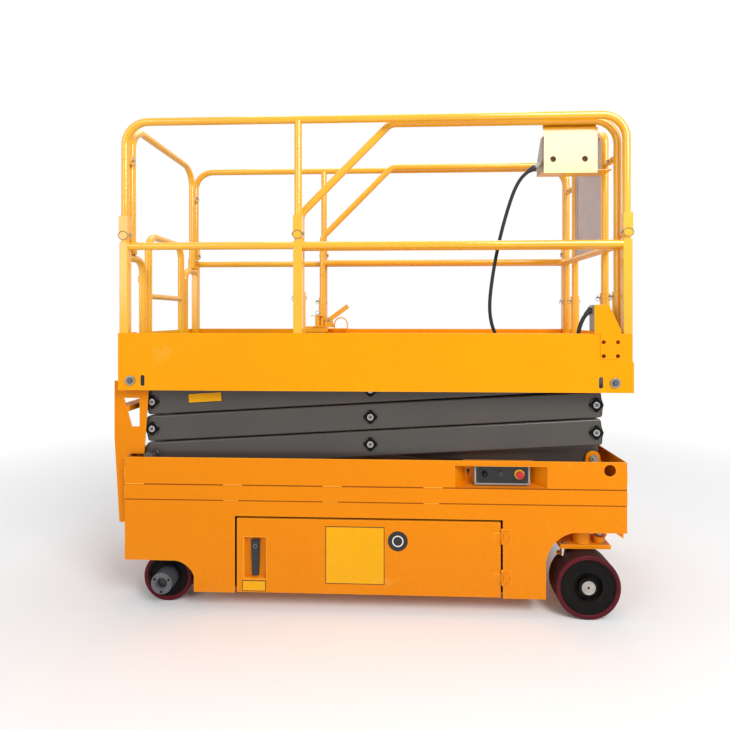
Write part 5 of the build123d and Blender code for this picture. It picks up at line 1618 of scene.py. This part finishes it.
class LIFT_OT_stage(bpy.types.Operator):
    """Make the floor, the soft lights, the pale surroundings and the camera"""
    bl_idname = "lift.stage"
    bl_label = "Stage"

    def execute(self, context):
        stage = context.scene.lift_stage
        make_floor()
        make_pale_world()
        add_area_light("key_light", (2.3, -3.6, 3.9), (0, 0, 1.2), 2.2, 170)
        add_area_light("fill_light", (-3.2, -4.0, 2.6), (0, 0, 1.0), 2.4, 45)
        add_area_light("top_light", (0, 0.6, 5.0), (0, 0, 1.0), 3.0, 70)
        lens = bpy.data.cameras.new("camera")
        lens.lens = stage.lens
        lens.sensor_width = 36
        lens.shift_x = -0.0178
        lens.shift_y = -0.0664
        camera = bpy.data.objects.new("camera", lens)
        context.scene.collection.objects.link(camera)
        camera.location = (stage.camera_x, stage.camera_y, stage.camera_z)
        camera.rotation_euler = Euler((math.pi / 2, 0, stage.camera_turn))
        context.scene.camera = camera
        context.scene.view_settings.view_transform = "Standard"
        return {"FINISHED"}


class LIFT_PT_panel(bpy.types.Panel):
    """Lists the lift's settings and steps"""
    bl_label = "Scissor Lift"
    bl_idname = "LIFT_PT_panel"
    bl_space_type = "VIEW_3D"
    bl_region_type = "UI"
    bl_category = "Lift"

    def draw(self, context):
        for group in (context.scene.lift_paint, context.scene.lift_wheels, context.scene.lift_trim,
                      context.scene.lift_stage):
            box = self.layout.box()
            for name in group.__annotations__:
                box.prop(group, name)
        for step in STEPS:
            self.layout.operator(step.bl_idname)


STEPS = (LIFT_OT_coat_frame, LIFT_OT_cables, LIFT_OT_wheels, LIFT_OT_arm_fittings, LIFT_OT_chassis_trim,
         LIFT_OT_door_fittings, LIFT_OT_ground_controls, LIFT_OT_platform_fittings, LIFT_OT_extension_lock,
         LIFT_OT_platform_controls, LIFT_OT_steering_fittings, LIFT_OT_power_units, LIFT_OT_stage)
SETTINGS = {"lift_paint": PaintSettings, "lift_wheels": WheelSettings, "lift_trim": TrimSettings,
            "lift_stage": StageSettings}


def register():
    for group in SETTINGS.values():
        bpy.utils.register_class(group)
    for name, group in SETTINGS.items():
        setattr(bpy.types.Scene, name, bpy.props.PointerProperty(type=group))
    for step in (*STEPS, LIFT_PT_panel):
        bpy.utils.register_class(step)


def unregister():
    for step in reversed((*STEPS, LIFT_PT_panel)):
        bpy.utils.unregister_class(step)
    for name, group in SETTINGS.items():
        delattr(bpy.types.Scene, name)
        bpy.utils.unregister_class(group)


def main():
    register()
    for step in STEPS:
        category, action = step.bl_idname.split(".")
        getattr(getattr(bpy.ops, category), action)()
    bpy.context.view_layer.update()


if __name__ == "__main__":
    main()
